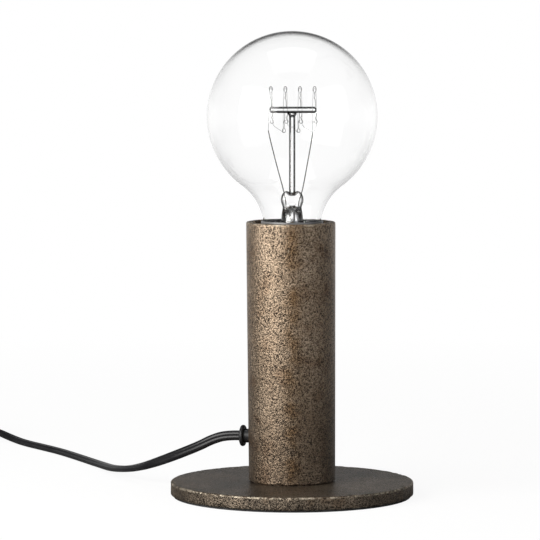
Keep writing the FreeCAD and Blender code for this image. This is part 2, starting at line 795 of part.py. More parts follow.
def make_cement():
    """The ring of cement that holds the glass neck in the cap."""
    low = tip_z + neck_end_height
    height = cap_high - cap_flare - low
    ring = sided_bar("cement_ring", holder_sides, cap_dia - cap_wall * 2 - screw_gap * 2, height,
                     0, 0, low)
    hole = sided_bar("cement_hole", holder_sides, neck_end_dia + screw_gap * 2, height, 0, 0, low)
    return keep("cap_cement", cut("cap_cement", ring, hole))


lead_hole = lead_wire + screw_gap * 2


def make_cap_insulator():
    """The black glass cone between the cap and the tip."""
    inner = cap_low + cap_taper + cap_wall
    section = [(0, tip_z + tip_thick), (tip_dia / 2 + fit_gap, tip_z + tip_thick),
               (cap_throat / 2, cap_low), (cap_throat / 2, inner), (0, inner)]
    cone = shaped("insulator_cone", ring_of_facets(section, holder_sides))
    depth = inner - tip_z - tip_thick
    hole = sided_bar("insulator_hole", screw_sides, lead_hole, depth, 0, 0, tip_z + tip_thick)
    return keep("cap_insulator", cut("cap_insulator", cone, hole))


def make_tip_contact():
    return keep("tip_contact", cylinder("tip_contact", tip_dia, tip_thick, 0, 0, tip_z))


# ---------------------------------------------------------------- the mount inside the bulb
pinch_low = pinch_z - pinch_height
flare_low = tip_z + neck_end_height


def pinch_outline():
    """The pressed end of the stem seen from the front: a round-shouldered heart above a waist."""
    top = pinch_z.value
    low = pinch_low.value
    wide = pinch_width.value / 2
    waist = pinch_waist.value / 2
    bulge_z = top - 0.44 * pinch_height.value
    waist_z = top - 0.76 * pinch_height.value
    foot = flare_dia.value / 2
    dimple = arbor_dia.value / 2
    neck_z = top - 0.08 * pinch_height.value
    bulge = Part.Arc(Vector(waist, 0, waist_z), Vector(wide, 0, bulge_z),
                     Vector(wide * 0.6, 0, neck_z)).toShape()
    right = [Vector(foot, 0, low)] + bulge.discretize(8) + [Vector(dimple, 0, top)]
    left = [Vector(-p.x, 0, p.z) for p in reversed(right)]
    return flat_face(right + left)


def lead_route(side):
    """A lead wire from the filament's end through the stem to the cap; side -1 left, +1 right."""
    spread = lead_spread.value * side
    gap = lead_gap.value / 2 * side
    top = bar_z.value - lead_top_drop.value
    return [Vector(spread, 0, top), Vector(gap * 1.5, 0, pinch_z.value - 2),
            Vector(gap, 0, pinch_low.value - 2), Vector(gap, 0, flare_low.value - 2)]


def make_leads():
    """The left lead ends on the cap's wall and the right one on the tip."""
    wall = cap_dia.value / 2 - cap_wall.value - lead_wire.value
    inner = (cap_low + cap_taper + cap_wall).value
    left = lead_route(-1) + [Vector(-wall, 0, inner + lead_wire.value)]
    right = lead_route(1) + [Vector(0, 0, inner + lead_wire.value),
                             Vector(0, 0, tip_z.value + tip_thick.value)]
    keep("lead_neutral", shaped("lead_neutral", mitred_wire(left, lead_wire, 6)))
    keep("lead_live", shaped("lead_live", mitred_wire(right, lead_wire, 6)))


def make_stem():
    """The stem glass: a flare sealed to the neck below and pressed flat round the wires above."""
    r = flare_dia.value / 2
    wall = flare_wall.value
    low = flare_low.value
    seal = neck_end_dia.value / 2 - glass_wall.value - seal_gap.value
    top = pinch_low.value
    skirt = flare_rise.value
    points = [(seal, low), (seal, low + wall), (r, low + skirt), (r, top), (r - wall, top),
              (r - wall, low + skirt - wall), (seal - wall, low)]
    flare = ring_of_facets(points, holder_sides)
    thick = pinch_thick.value
    press = pinch_outline().extrude(Vector(0, thick, 0))
    press.translate(Vector(0, -thick / 2, 0))
    window_z = pinch_z.value - 0.62 * pinch_height.value
    window = mitred_wire([Vector(0, -thick, window_z), Vector(0, thick, window_z)],
                         exhaust_bore, glass_rod_sides)
    stem = flare.fuse(press).cut(window)
    stem = stem.cut(arbor_rod_shape(screw_gap.value / 2))
    stem = stem.cut(exhaust_shape(exhaust_dia + screw_gap, pinch_low.value))
    for side in (-1, 1):
        stem = stem.cut(mitred_wire(lead_route(side), lead_wire + screw_gap, 6))
    return keep("stem_glass", shaped("stem_glass", stem.removeSplitter()))


glass_rod_sides = 10


def arbor_rod_shape(gap=0.0):
    base = pinch_z.value - arbor_socket.value
    return mitred_wire([Vector(0, 0, base), Vector(0, 0, bar_z.value)],
                       arbor_dia + gap * 2, glass_rod_sides)


def make_arbor_and_bar():
    """The glass rod up the middle and the glass bar across its top."""
    half = bar_length.value / 2
    bar = mitred_wire([Vector(-half, 0, bar_z.value), Vector(half, 0, bar_z.value)],
                      bar_dia, glass_rod_sides)
    rod = arbor_rod_shape().cut(bar)
    keep("arbor_rod", shaped("arbor_rod", rod))
    keep("cross_bar", shaped("cross_bar", bar))


def exhaust_shape(dia, low):
    """A rod up to where the exhaust tube ends in the pressed glass."""
    top = pinch_low.value + 0.36 * pinch_height.value
    return mitred_wire([Vector(0, 0, low), Vector(0, 0, top)], dia, glass_rod_sides)


def make_exhaust():
    """The exhaust tube inside the stem, sealed off below."""
    low = pinch_low.value - exhaust_drop.value
    tube = exhaust_shape(exhaust_dia, low)
    tube = tube.cut(exhaust_shape(exhaust_bore, low + exhaust_dia.value / 2))
    return keep("exhaust_tube", shaped("exhaust_tube", tube))


hairpin_places = [(i - (hairpin_count - 1) / 2) * hairpin_spacing.value for i in range(hairpin_count)]


def filament_route():
    """One wire: up in front of the bar, through an upper hook, down behind it, and on to the next."""
    z = bar_z.value
    half = hairpin_width.value / 2
    deep = hairpin_depth.value / 2
    clear = bar_dia.value
    high = z + upper_hook_rise.value
    hook = z - lower_hook_drop.value
    loop = z - low_loop_drop.value
    beside = (hook_wire.value + filament_dia.value) / 2 + 0.1
    bend = 0.3
    start = Vector(-lead_spread.value, 0, z - lead_top_drop.value)
    end = Vector(lead_spread.value, 0, z - lead_top_drop.value)
    points = [start]
    for i, x in enumerate(hairpin_places):
        if i:
            points += [Vector(x - half - bend, bend, loop), Vector(x - half + bend / 2, -bend, loop)]
        points += [Vector(x - half, -deep, z - clear), Vector(x - half, -deep, z + clear),
                   Vector(x - bend, -bend, high), Vector(x + bend, bend, high),
                   Vector(x + half, deep, z + clear), Vector(x + half, deep, z - clear),
                   Vector(x + half, beside, hook)]
        if i + 1 == hairpin_count // 2:
            behind = arbor_dia.value / 2 + filament_dia.value + 0.2
            points += [Vector(-behind / 2, behind, (hook * 2 + loop) / 3),
                       Vector(behind / 2, behind, (hook + loop * 2) / 3)]
    points.append(end)
    return points


def hook(x, start_z, eye_z):
    """A support wire from the bar to an open eye round the filament."""
    eye = hook_eye.value / 2
    away = 1 if eye_z > start_z else -1
    points = [Vector(x + eye, 0, start_z), Vector(x + eye, 0, eye_z)]
    eye_bends = 4
    for k in range(1, eye_bends + 1):
        angle = math.radians(270 * k / eye_bends)
        points.append(Vector(x + eye * math.cos(angle), 0, eye_z + away * eye * math.sin(angle)))
    return mitred_wire(points, hook_wire)


def make_filament_mount():
    """The looped filament and the hooks, set in the bar, that hold it up and down."""
    z = bar_z.value
    surface = bar_dia.value / 2 * math.sqrt(1 - (hook_wire.value / bar_dia.value) ** 2)
    half = hairpin_width.value / 2
    upper = [hook(x, z + surface + 0.02, z + upper_hook_rise.value) for x in hairpin_places]
    lower = [hook(x + half, z - surface - 0.02, z - lower_hook_drop.value) for x in hairpin_places]
    lower += [hook(x - half, z - surface - 0.02, z - low_loop_drop.value)
              for x in hairpin_places[1:-1]]
    keep("upper_hooks", shaped("upper_hooks", Part.makeCompound(upper)))
    keep("lower_hooks", shaped("lower_hooks", Part.makeCompound(lower)))
    keep("filament", shaped("filament", mitred_wire(filament_route(), filament_dia)))


# ---------------------------------------------------------------- cords
floor_z = cord_dia.value / 2 + 0.05
switch_centre = Vector(-210, 268, 0)
switch_heading = Vector(-1, 1, 0).normalize()
coil_centre = Vector(-264, 202, 0)
coil_z = coil_lift.value + cord_dia.value / 2
switch_half = switch_length.value / 2
switch_in = switch_centre - switch_heading * switch_half + Vector(0, 0, switch_cord_height.value)
switch_out = switch_centre + switch_heading * switch_half + Vector(0, 0, switch_cord_height.value)

lead_route_points = [
    along_hole(flange_outer),
    along_hole(flange_outer + 8),
    Vector(-44.6, 11.9, 30.4),
    Vector(-53, 15.8, 25.6),
    Vector(-74, 31, 15.6),
    Vector(-90, 53, 9.0),
    Vector(-103, 81, 4.9),
    Vector(-113, 113, floor_z + 0.4),
    Vector(-127, 147, floor_z),
    Vector(-140, 175, floor_z),
    Vector(-153, 197, floor_z),
    Vector(-165.5, 217.5, floor_z),
    switch_in - switch_heading * 22 + Vector(0, 0, -3.0),
    switch_in - switch_heading * 8,
    switch_in,
]

coil_start = coil_centre + Vector(-coil_radius.value, 0, coil_z)
link_route_points = [
    switch_out,
    switch_out + switch_heading * 12,
    Vector(-253, 305.5, 5.6),
    Vector(-271, 305.5, 4.3),
    Vector(-287, 296, coil_z),
    Vector(-297, 281, coil_z),
    Vector(-301.5, 262, coil_z),
    coil_start + Vector(0, 33, 0),
    coil_start + Vector(0, cord_dia.value, 0),
]


def coil_wire():
    """Half turns of quarter arcs: spiralling in, climbing a layer, and spiralling out again."""
    half_pitch = coil_pitch.value / 2
    radius = coil_radius.value
    side = -1
    z = coil_z
    point = coil_start
    edges = [Part.LineSegment(coil_start + Vector(0, cord_dia.value, 0), coil_start).toShape()]
    heading = Vector(0, -1, 0)
    draw = coil_draw.value
    steps = [(-half_pitch, 0)] * (coil_inward_half_turns - 1)
    steps += [(-half_pitch - draw, 0), (0, coil_layer.value), (half_pitch + draw, 0)]
    steps += [(half_pitch, 0)] * (coil_outward_half_turns - 1)
    for widen, climb in steps:
        radius += widen
        z += climb
        side = -side
        end = Vector(coil_centre.x + side * radius, coil_centre.y, z)
        edges += half_turn_arcs(point, end, heading)
        heading = heading * -1
        point = end
    last = point + heading * cord_dia.value
    edges.append(Part.LineSegment(point, last).toShape())
    return Part.Wire(edges), last, heading


coil_path, coil_end, coil_heading = coil_wire()


def least_gap(path, diameter, step):
    """The least space between turns, from points along the path further apart than a turn's start."""
    points = path.discretize(Distance=step)
    apart = int(4 * diameter / step)
    least = min((points[i] - points[j]).Length
                for i in range(len(points)) for j in range(i + apart, len(points)))
    return least - diameter


def make_coil():
    """The put-away cord: one unbroken flat-sided tube."""
    start = coil_start + Vector(0, cord_dia.value, 0)
    section = flat_sided_section(start, Vector(0, -1, 0), cord_dia.value)
    tube = coil_path.makePipeShell([section], True, False)
    print(f"cord_coil: {coil_path.Length:.0f} mm long, least gap "
          f"{least_gap(coil_path, cord_dia.value, 2.0):.2f} mm")
    return keep("cord_coil", shaped("cord_coil", tube))


plug_entry = coil_end + coil_heading * 36 + Vector(0, 0, plug_thick.value / 2 - coil_end.z)
tail_route_points = [
    coil_end,
    coil_end + coil_heading * 10,
    plug_entry - coil_heading * 10,
    plug_entry,
]


cord_top = nipple_z.value + nipple_length.value


def make_cords():
    """The cord from grommet to switch, from switch to coil, and from coil to plug."""
    stretches = (("cord_to_switch", lead_route_points), ("cord_to_coil", link_route_points),
                 ("cord_to_plug", tail_route_points))
    for label, points in stretches:
        keep(label, shaped(label, tube_along(label, points, cord_dia)))
    inner_bend = wall_inside * 0.55
    inner_points = [along_hole(flange_outer), along_hole(inner_bend),
                    Vector(0, 0, hole_z.value + inner_bend), Vector(0, 0, cord_top)]
    keep("inner_cord", shaped("inner_cord", tube_along("inner_cord", inner_points, cord_dia)))
    core = wire_dia.value / 2 + screw_gap.value
    wire_end = insert_z.value + insert_thick.value / 2 - wire_end_gap.value
    for side, label in ((-1, "wire_neutral"), (1, "wire_live")):
        reach = terminal_reach.value * side
        points = [Vector(core * side, 0, cord_top), Vector(core * side, 0, cord_top + wire_rise.value),
                  Vector(reach, 0, insert_z.value - wire_rise.value), Vector(reach, 0, wire_end)]
        keep(label, shaped(label, mitred_wire(points, wire_dia, 6)))


def make_coil_tie():
    """The band round all turns on the coil's right."""
    radius = cord_dia.value / 2
    inner = coil_radius.value - coil_pitch.value / 2 * coil_inward_half_turns - coil_draw.value
    outer = coil_radius.value - coil_pitch.value / 2
    reach = radius + tie_gap.value
    low = coil_z - reach
    high = coil_z + coil_layer.value + reach
    near = coil_centre.x + inner - reach
    far = coil_centre.x + outer + reach
    thick = tie_thick.value
    width = tie_width.value
    band = Part.makeBox(far - near + 2 * thick, width, high - low + 2 * thick,
                        Vector(near - thick, coil_centre.y - width / 2, low - thick))
    opening = Part.makeBox(far - near, width, high - low,
                           Vector(near, coil_centre.y - width / 2, low))
    return keep("coil_tie", shaped("coil_tie", band.cut(opening)))


# ---------------------------------------------------------------- in-line switch
def switch_placement():
    turn = math.degrees(math.atan2(switch_heading.y, switch_heading.x))
    return Placement(switch_centre, Rotation(Vector(0, 0, 1), turn))


def switch_plan():
    """The switch seen from above, lengthwise along X: swollen in the middle, narrow at the cord."""
    end = switch_length.value / 2
    wide = switch_width.value / 2
    narrow = switch_narrow.value / 2
    chords = 6
    steps = [2 * i / chords - 1 for i in range(chords + 1)]
    near = [Vector(end * t, -wide + (wide - narrow) * t * t, 0) for t in steps]
    far = [Vector(-p.x, -p.y, 0) for p in near]
    return flat_face(near + far)


switch_top = switch_base_height.value + switch_cover_height.value
pivot_z = switch_top - rocker_sink.value
rocker_low = pivot_z + rocker_sink.value - rocker_depth.value + rocker_play.value
well_floor = rocker_low - well_gap.value - contact_thick.value
rocker_half = rocker_length.value / 2


def rocker_well():
    """The space that the rocker swings in."""
    gap = rocker_gap.value
    return Part.makeBox(rocker_length.value + 2 * gap, rocker_width.value + 2 * gap, switch_top,
                        Vector(-rocker_half - gap, -rocker_width.value / 2 - gap, well_floor))


def upright(x, low, height, dia):
    """A many-sided rod in the switch, on its middle line."""
    low = as_size(low).value
    return mitred_wire([Vector(x, 0, low), Vector(x, 0, low + as_size(height).value)], dia,
                       screw_sides)


def make_switch():
    """Base, cover, rocker and its pin, two screws and two contacts."""
    place = switch_placement()
    split = switch_base_height.value
    edge = switch_edge.value
    base = switch_plan().extrude(Vector(0, 0, split))
    base = base.makeChamfer(edge, [e for e in base.Edges if at_height(e, 0)])
    cover = switch_plan().extrude(Vector(0, 0, switch_top - split))
    cover.translate(Vector(0, 0, split))
    cover = cover.makeChamfer(edge, [e for e in cover.Edges if at_height(e, switch_top)])
    pin_length = rocker_width.value + 2 * rocker_gap.value + 2 * pin_seat.value
    pin = cross_rod(pin_length, rocker_pin.value)
    seat = mitred_wire([Vector(0, -pin_length / 2, pivot_z), Vector(0, pin_length / 2, pivot_z)],
                       rocker_pin, screw_sides)
    cover = cover.cut(rocker_well()).cut(seat)
    base = base.cut(rocker_well())
    screws = []
    contacts = []
    for side in (1, -1):
        x = side * (rocker_half + switch_screw_reach.value)
        screws.append(upright(x, switch_screw_sink, switch_screw_head_height, switch_screw_head)
                      .fuse(upright(x, switch_screw_sink, switch_screw_length, switch_screw_dia)))
        hole = upright(x, 0, switch_screw_sink + switch_screw_length + screw_gap,
                       switch_screw_dia + screw_gap * 2)
        base = base.cut(hole)
        cover = cover.cut(hole)
        base = base.cut(upright(x, 0, switch_screw_sink + switch_screw_head_height + screw_gap,
                                switch_screw_head + screw_gap * 2))
        corner = Vector(side * contact_strip_reach.value - contact_strip_length.value / 2,
                        -contact_strip_width.value / 2, well_floor)
        contacts.append(Part.makeBox(contact_strip_length.value, contact_strip_width.value,
                                     contact_thick.value, corner))
    keep("switch_base", shaped("switch_base", base, place))
    keep("switch_cover", shaped("switch_cover", cover, place))
    keep("switch_screws", shaped("switch_screws", Part.makeCompound(screws), place))
    keep("switch_contacts", shaped("switch_contacts", Part.makeCompound(contacts), place))
    keep("rocker_pin", shaped("rocker_pin", pin, place))
    tilt = Placement(Vector(0, 0, 0), Rotation(Vector(0, 1, 0), rocker_angle.value),
                     Vector(0, 0, pivot_z))
    keep("switch_rocker", shaped("switch_rocker", rocker_shape(), place.multiply(tilt)))


def cross_rod(length, dia):
    """A round rod across the switch on the rocker's pivot."""
    return Part.makeCylinder(dia / 2, length, Vector(0, -length / 2, pivot_z), Vector(0, 1, 0))


def rocker_shape():
    """A shallow V on top, narrowing beneath towards the contacts."""
    half = rocker_half
    width = rocker_width.value
    top = switch_top + rocker_rise.value - rocker_dip.value
    shoulder = rocker_low + rocker_dip.value
    side = [Vector(-half, 0, top), Vector(0, 0, top - rocker_dip.value), Vector(half, 0, top),
            Vector(half, 0, shoulder), Vector(half / 2, 0, rocker_low),
            Vector(-half / 2, 0, rocker_low), Vector(-half, 0, shoulder)]
    rocker = flat_face(side).extrude(Vector(0, width, 0))
    rocker.translate(Vector(0, -width / 2, 0))
    return rocker.cut(cross_rod(width * 2, rocker_pin.value + rocker_play.value * 2))


def at_height(edge, z):
    return all(abs(v.Point.z - z) < 0.01 for v in edge.Vertexes)


# ---------------------------------------------------------------- plug
def plug_placement():
    turn = math.degrees(math.atan2(coil_heading.y, coil_heading.x))
    return Placement(Vector(plug_entry.x, plug_entry.y, 0), Rotation(Vector(0, 0, 1), turn))


def make_plug():
    """The flat two-pin plug: a moulded body that widens from the cord to its face, and two pins."""
    length = plug_length.value
    face = plug_width.value / 2
    neck = plug_neck_width.value / 2
    thick = plug_thick.value
    plan = [Vector(0, -neck, 0), Vector(length * 0.4, -face * 0.92, 0), Vector(length, -face, 0),
            Vector(length, face, 0), Vector(length * 0.4, face * 0.92, 0), Vector(0, neck, 0)]
    body = Part.Face(Part.makePolygon(plan + plan[:1])).extrude(Vector(0, 0, thick))
    body = body.makeFillet(plug_round.value, [e for e in body.Edges
                                              if e.BoundBox.ZLength > thick / 2
                                              and e.BoundBox.XMax < length - 1])
    place = plug_placement()
    pins = []
    for side in (1, -1):
        y = side * pin_spacing.value / 2
        start = length - pin_sink.value
        foot = Vector(start, y, thick / 2)
        pins.append(mitred_wire([foot, foot + Vector(pin_length.value + pin_sink.value, 0, 0)],
                                pin_dia, screw_sides))
        body = body.cut(mitred_wire([foot, foot + Vector(length, 0, 0)], pin_dia + screw_gap,
                                    screw_sides))
    keep("plug_body", shaped("plug_body", body, place))
    keep("plug_pins", shaped("plug_pins", Part.makeCompound(pins), place))


# ---------------------------------------------------------------- build
make_base_pad()
make_base_disc()
make_base_screws()
make_column()
make_grommet()
make_plate()
make_plate_screws()
make_nipple()
make_nuts()
make_holder_cup()
make_insert()
make_terminal_screws()
make_holder_skirt()
make_screw_shell()
make_centre_contact()
make_bulb_glass()
make_bulb_cap()
make_cement()
make_cap_insulator()
make_tip_contact()
make_leads()
make_stem()
make_arbor_and_bar()
make_exhaust()
make_filament_mount()
make_cords()
make_coil()
make_coil_tie()
make_switch()
make_plug()

doc.recompute()

for thing in doc.Objects:
    if "Invalid" in thing.State or "Error" in thing.State:
        raise SystemExit(f"{thing.Label} failed: {thing.State}")

os.makedirs("parts", exist_ok=True)
for label, thing in node_names:
    shape = thing.Shape
    if shape.isNull() or not shape.isValid() or not shape.Solids:
        raise SystemExit(f"{label} has no valid solid")
    shape.exportStep(f"parts/{label}.step")
    print(f"{label}: {len(shape.Solids)} solid(s), {shape.Volume / 1000:.3f} cm3")
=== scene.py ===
import math

import bmesh
import bpy
from mathutils import Matrix, Vector, noise


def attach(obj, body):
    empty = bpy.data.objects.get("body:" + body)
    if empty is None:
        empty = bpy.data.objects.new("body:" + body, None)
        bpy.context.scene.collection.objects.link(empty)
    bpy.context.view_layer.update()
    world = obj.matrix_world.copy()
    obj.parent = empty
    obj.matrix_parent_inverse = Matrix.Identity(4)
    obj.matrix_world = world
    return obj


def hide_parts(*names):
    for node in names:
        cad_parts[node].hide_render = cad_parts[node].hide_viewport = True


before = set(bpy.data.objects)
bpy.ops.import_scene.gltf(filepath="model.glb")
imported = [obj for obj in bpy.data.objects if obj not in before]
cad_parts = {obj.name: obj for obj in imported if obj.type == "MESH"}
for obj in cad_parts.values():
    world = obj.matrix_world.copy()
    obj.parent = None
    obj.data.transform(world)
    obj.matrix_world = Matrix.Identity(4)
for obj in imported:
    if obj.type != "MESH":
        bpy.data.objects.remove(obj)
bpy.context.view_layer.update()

MM = 0.001
UP = Vector((0, 0, 1))


# ------------------------------------------------------------------ at the bench
def deselect():
    if bpy.context.object and bpy.context.object.mode != "OBJECT":
        bpy.ops.object.mode_set(mode="OBJECT")
    bpy.ops.object.select_all(action="DESELECT")


def pick(piece):
    deselect()
    bpy.context.view_layer.objects.active = piece
    piece.select_set(True)
    return piece


def call_it(name):
    piece = bpy.context.object
    piece.name = name
    piece.data.name = name
    return piece


def apply_modifier(piece, kind, **settings):
    """Adds a modifier with these settings and applies it."""
    pick(piece)
    modifier = piece.modifiers.new(kind.lower(), kind)
    for key, value in settings.items():
        setattr(modifier, key, value)
    bpy.ops.object.modifier_apply(modifier=modifier.name)
    return piece


def round_edges(piece, width, segments=3, angle=35):
    """Rounds every edge sharper than the angle."""
    return apply_modifier(piece, "BEVEL", width=width * MM, segments=segments,
                          limit_method="ANGLE", angle_limit=math.radians(angle),
                          use_clamp_overlap=True, miter_outer="MITER_ARC")


def smooth(piece, angle=40):
    pick(piece)
    bpy.ops.object.shade_smooth_by_angle(angle=math.radians(angle))
    return piece


def clean(piece):
    """Merges doubles and turns every face outwards."""
    pick(piece)
    bpy.ops.object.mode_set(mode="EDIT")
    bpy.ops.mesh.select_all(action="SELECT")
    bpy.ops.mesh.remove_doubles(threshold=1e-6)
    bpy.ops.mesh.normals_make_consistent(inside=False)
    bpy.ops.object.mode_set(mode="OBJECT")
    return piece


def turned(name, section, steps=96):
    """A closed form spun round the lamp's axis from a half section of (radius, height), in mm."""
    deselect()
    first = section[0]
    bpy.ops.mesh.primitive_plane_add(size=0.001, location=(0, 0, 0))
    bpy.ops.object.mode_set(mode="EDIT")
    bpy.ops.mesh.select_all(action="SELECT")
    bpy.ops.mesh.merge(type="CENTER")
    bpy.ops.transform.translate(value=(first[0] * MM, 0, first[1] * MM))
    for (r0, z0), (r1, z1) in zip(section, section[1:]):
        bpy.ops.mesh.extrude_region_move(
            TRANSFORM_OT_translate={"value": ((r1 - r0) * MM, 0, (z1 - z0) * MM)})
    bpy.ops.mesh.select_all(action="SELECT")
    bpy.ops.mesh.spin(steps=steps, angle=2 * math.pi, center=(0, 0, 0), axis=(0, 0, 1))
    bpy.ops.object.mode_set(mode="OBJECT")
    return clean(call_it(name))


def arc(centre, radius, start, end, steps):
    """Points of a (radius, height) arc; angles in degrees from the horizontal."""
    points = []
    for i in range(steps + 1):
        a = math.radians(start + (end - start) * i / steps)
        points.append((centre[0] + radius * math.cos(a), centre[1] + radius * math.sin(a)))
    return points


def prism(name, plan, height, low=0.0):
    """A flat outline of (x, y) mm, drawn as a face and extruded upwards."""
    deselect()
    bpy.ops.mesh.primitive_circle_add(vertices=len(plan), radius=0.01, fill_type="NGON")
    piece = call_it(name)
    for vertex, (x, y) in zip(piece.data.vertices, plan):
        vertex.co = (x * MM, y * MM, low * MM)
    bpy.ops.object.mode_set(mode="EDIT")
    bpy.ops.mesh.select_all(action="SELECT")
    bpy.ops.mesh.extrude_region_move(TRANSFORM_OT_translate={"value": (0, 0, height * MM)})
    bpy.ops.object.mode_set(mode="OBJECT")
    return clean(piece)


def cut_away(piece, tool):
    """Takes the tool's form out of the piece and throws the tool away."""
    apply_modifier(piece, "BOOLEAN", operation="DIFFERENCE", object=tool, solver="EXACT")
    bpy.data.objects.remove(tool)
    return piece


def bar_tool(radius, start, end, sides=48):
    """A round cutter between two points in mm."""
    a, b = Vector(start) * MM, Vector(end) * MM
    deselect()
    bpy.ops.mesh.primitive_cylinder_add(vertices=sides, radius=radius * MM, depth=(b - a).length)
    tool = call_it("cutter")
    turn = UP.rotation_difference((b - a).normalized()).to_matrix().to_4x4()
    tool.data.transform(Matrix.Translation((a + b) / 2) @ turn)
    return tool


def box_tool(low, high):
    a, b = Vector(low) * MM, Vector(high) * MM
    deselect()
    bpy.ops.mesh.primitive_cube_add(size=1)
    tool = call_it("cutter")
    scale = Matrix.Diagonal((*(b - a), 1))
    tool.data.transform(Matrix.Translation((a + b) / 2) @ scale)
    return tool


def place(piece, matrix):
    """Sets a finished piece in its place, in its mesh."""
    piece.data.transform(matrix)
    return piece


def splines(name, strands, steps):
    """A curve with one smooth NURBS line for each list of points in mm."""
    curve = bpy.data.curves.new(name, "CURVE")
    curve.dimensions = "3D"
    curve.resolution_u = steps
    for strand in strands:
        line = curve.splines.new("NURBS")
        line.points.add(len(strand) - 1)
        for knot, point in zip(line.points, strand):
            knot.co = (*(Vector(point) * MM), 1)
        line.order_u = 3
        line.use_endpoint_u = True
    drawn = bpy.data.objects.new(name, curve)
    bpy.context.scene.collection.objects.link(drawn)
    return drawn


def wire(name, strands, thickness):
    """Round wires through given points in mm, made one mesh."""
    drawn = splines(name, strands, 6)
    drawn.data.bevel_depth = thickness / 2 * MM
    drawn.data.bevel_resolution = 3
    drawn.data.use_fill_caps = True
    pick(drawn)
    bpy.ops.object.convert(target="MESH")
    return clean(call_it(name))


# ------------------------------------------------------------------ shader nodes
def new_group(name, inputs, outputs):
    """A shader node group; returns it, the sockets it is given and those it puts out."""
    group = bpy.data.node_groups.new(name, "ShaderNodeTree")
    for label, kind, value in inputs:
        socket = group.interface.new_socket(label, in_out="INPUT", socket_type=kind)
        socket.default_value = value
    for label, kind in outputs:
        group.interface.new_socket(label, in_out="OUTPUT", socket_type=kind)
    start = group.nodes.new("NodeGroupInput")
    end = group.nodes.new("NodeGroupOutput")
    return group, start.outputs, end.inputs


def use_group(tree, group, **values):
    made = tree.nodes.new("ShaderNodeGroup")
    made.node_tree = group
    for key, value in values.items():
        made.inputs[key.replace("_", " ")].default_value = value
    return made.outputs


def node(tree, kind, links=(), **settings):
    """A node with its settings, and links given as (input, output socket or value)."""
    made = tree.nodes.new(kind)
    for key, value in settings.items():
        setattr(made, key, value)
    for key, source in links:
        if hasattr(source, "is_output"):
            tree.links.new(source, made.inputs[key])
        else:
            made.inputs[key].default_value = source
    return made


def spread(tree, value, start, end, low=0.0, high=1.0):
    """Takes a value from start and end to low and high, and holds it beyond them."""
    return node(tree, "ShaderNodeMapRange",
                [("Value", value), ("From Min", start), ("From Max", end),
                 ("To Min", low), ("To Max", high)]).outputs[0]


def reckon(tree, operation, *values):
    return node(tree, "ShaderNodeMath", list(enumerate(values)), operation=operation).outputs[0]


def lay_over(tree, share, under, over, how="MIX"):
    """Lays a share of one colour over another."""
    return node(tree, "ShaderNodeMix", [(0, share), (6, under), (7, over)],
                data_type="RGBA", blend_type=how).outputs[2]


def speckle(tree, where, scale, detail, roughness=0.5):
    return node(tree, "ShaderNodeTexNoise",
                [("Vector", where), ("Scale", scale), ("Detail", detail),
                 ("Roughness", roughness)]).outputs["Fac"]


def on_the_piece(tree):
    """The place on the piece, and its X, Y and Z, in metres."""
    where = tree.nodes.new("ShaderNodeTexCoord").outputs["Object"]
    return where, node(tree, "ShaderNodeSeparateXYZ", [("Vector", where)]).outputs


def ramp(tree, source, stops):
    made = tree.nodes.new("ShaderNodeValToRGB")
    tree.links.new(source, made.inputs[0])
    while len(made.color_ramp.elements) < len(stops):
        made.color_ramp.elements.new(0.5)
    for element, (position, colour) in zip(made.color_ramp.elements, stops):
        element.position = position
        element.color = (*colour, 1)
    return made.outputs[0]


def make_mottle():
    """Slow blotches and fine grain over a surface, as masks from 0 to 1."""
    group, given, out = new_group(
        "mottle", [("Blotch", "NodeSocketFloat", 30.0), ("Grain", "NodeSocketFloat", 900.0)],
        [("Blotches", "NodeSocketFloat"), ("Grains", "NodeSocketFloat")])
    where = group.nodes.new("ShaderNodeTexCoord").outputs["Object"]
    group.links.new(speckle(group, where, given["Blotch"], 5.0), out["Blotches"])
    group.links.new(speckle(group, where, given["Grain"], 3.0), out["Grains"])
    return group


def make_cast_skin():
    """The skin of a sand casting: grain, pits and a few scratches, as height and masks."""
    group, given, out = new_group(
        "cast_skin", [("Pit size", "NodeSocketFloat", 700.0), ("Pits", "NodeSocketFloat", 0.3),
                      ("Grain size", "NodeSocketFloat", 1500.0)],
        [("Height", "NodeSocketFloat"), ("Pit mask", "NodeSocketFloat"),
         ("Grain", "NodeSocketFloat"), ("Scratches", "NodeSocketFloat")])
    where = group.nodes.new("ShaderNodeTexCoord").outputs["Object"]
    cells = node(group, "ShaderNodeTexVoronoi", [("Vector", where), ("Scale", given["Pit size"])],
                 feature="F1")
    crowded = spread(group, speckle(group, where, 420.0, 2.0), 0.32, 0.60)
    wide = reckon(group, "MULTIPLY", crowded, given["Pits"])
    floor_of_pit = reckon(group, "MULTIPLY", wide, 0.55)
    pits = spread(group, cells.outputs["Distance"], wide, floor_of_pit)
    grain = speckle(group, where, given["Grain size"], 3.0, 0.6)
    lumps = speckle(group, where, 980.0, 1.0)
    relief = reckon(group, "MULTIPLY_ADD", lumps, 1.3, grain)
    shade = node(group, "ShaderNodeMix", [(0, 0.35), (2, grain), (3, lumps)]).outputs[0]
    stretch = node(group, "ShaderNodeMapping",
                   [("Vector", where), ("Rotation", (0.4, 0.9, 0.3)), ("Scale", (2200, 90, 260))])
    scratches = spread(group, speckle(group, stretch.outputs[0], 1.0, 1.0), 0.78, 0.82)
    group.links.new(reckon(group, "SUBTRACT", relief, pits), out["Height"])
    group.links.new(pits, out["Pit mask"])
    group.links.new(shade, out["Grain"])
    group.links.new(scratches, out["Scratches"])
    return group


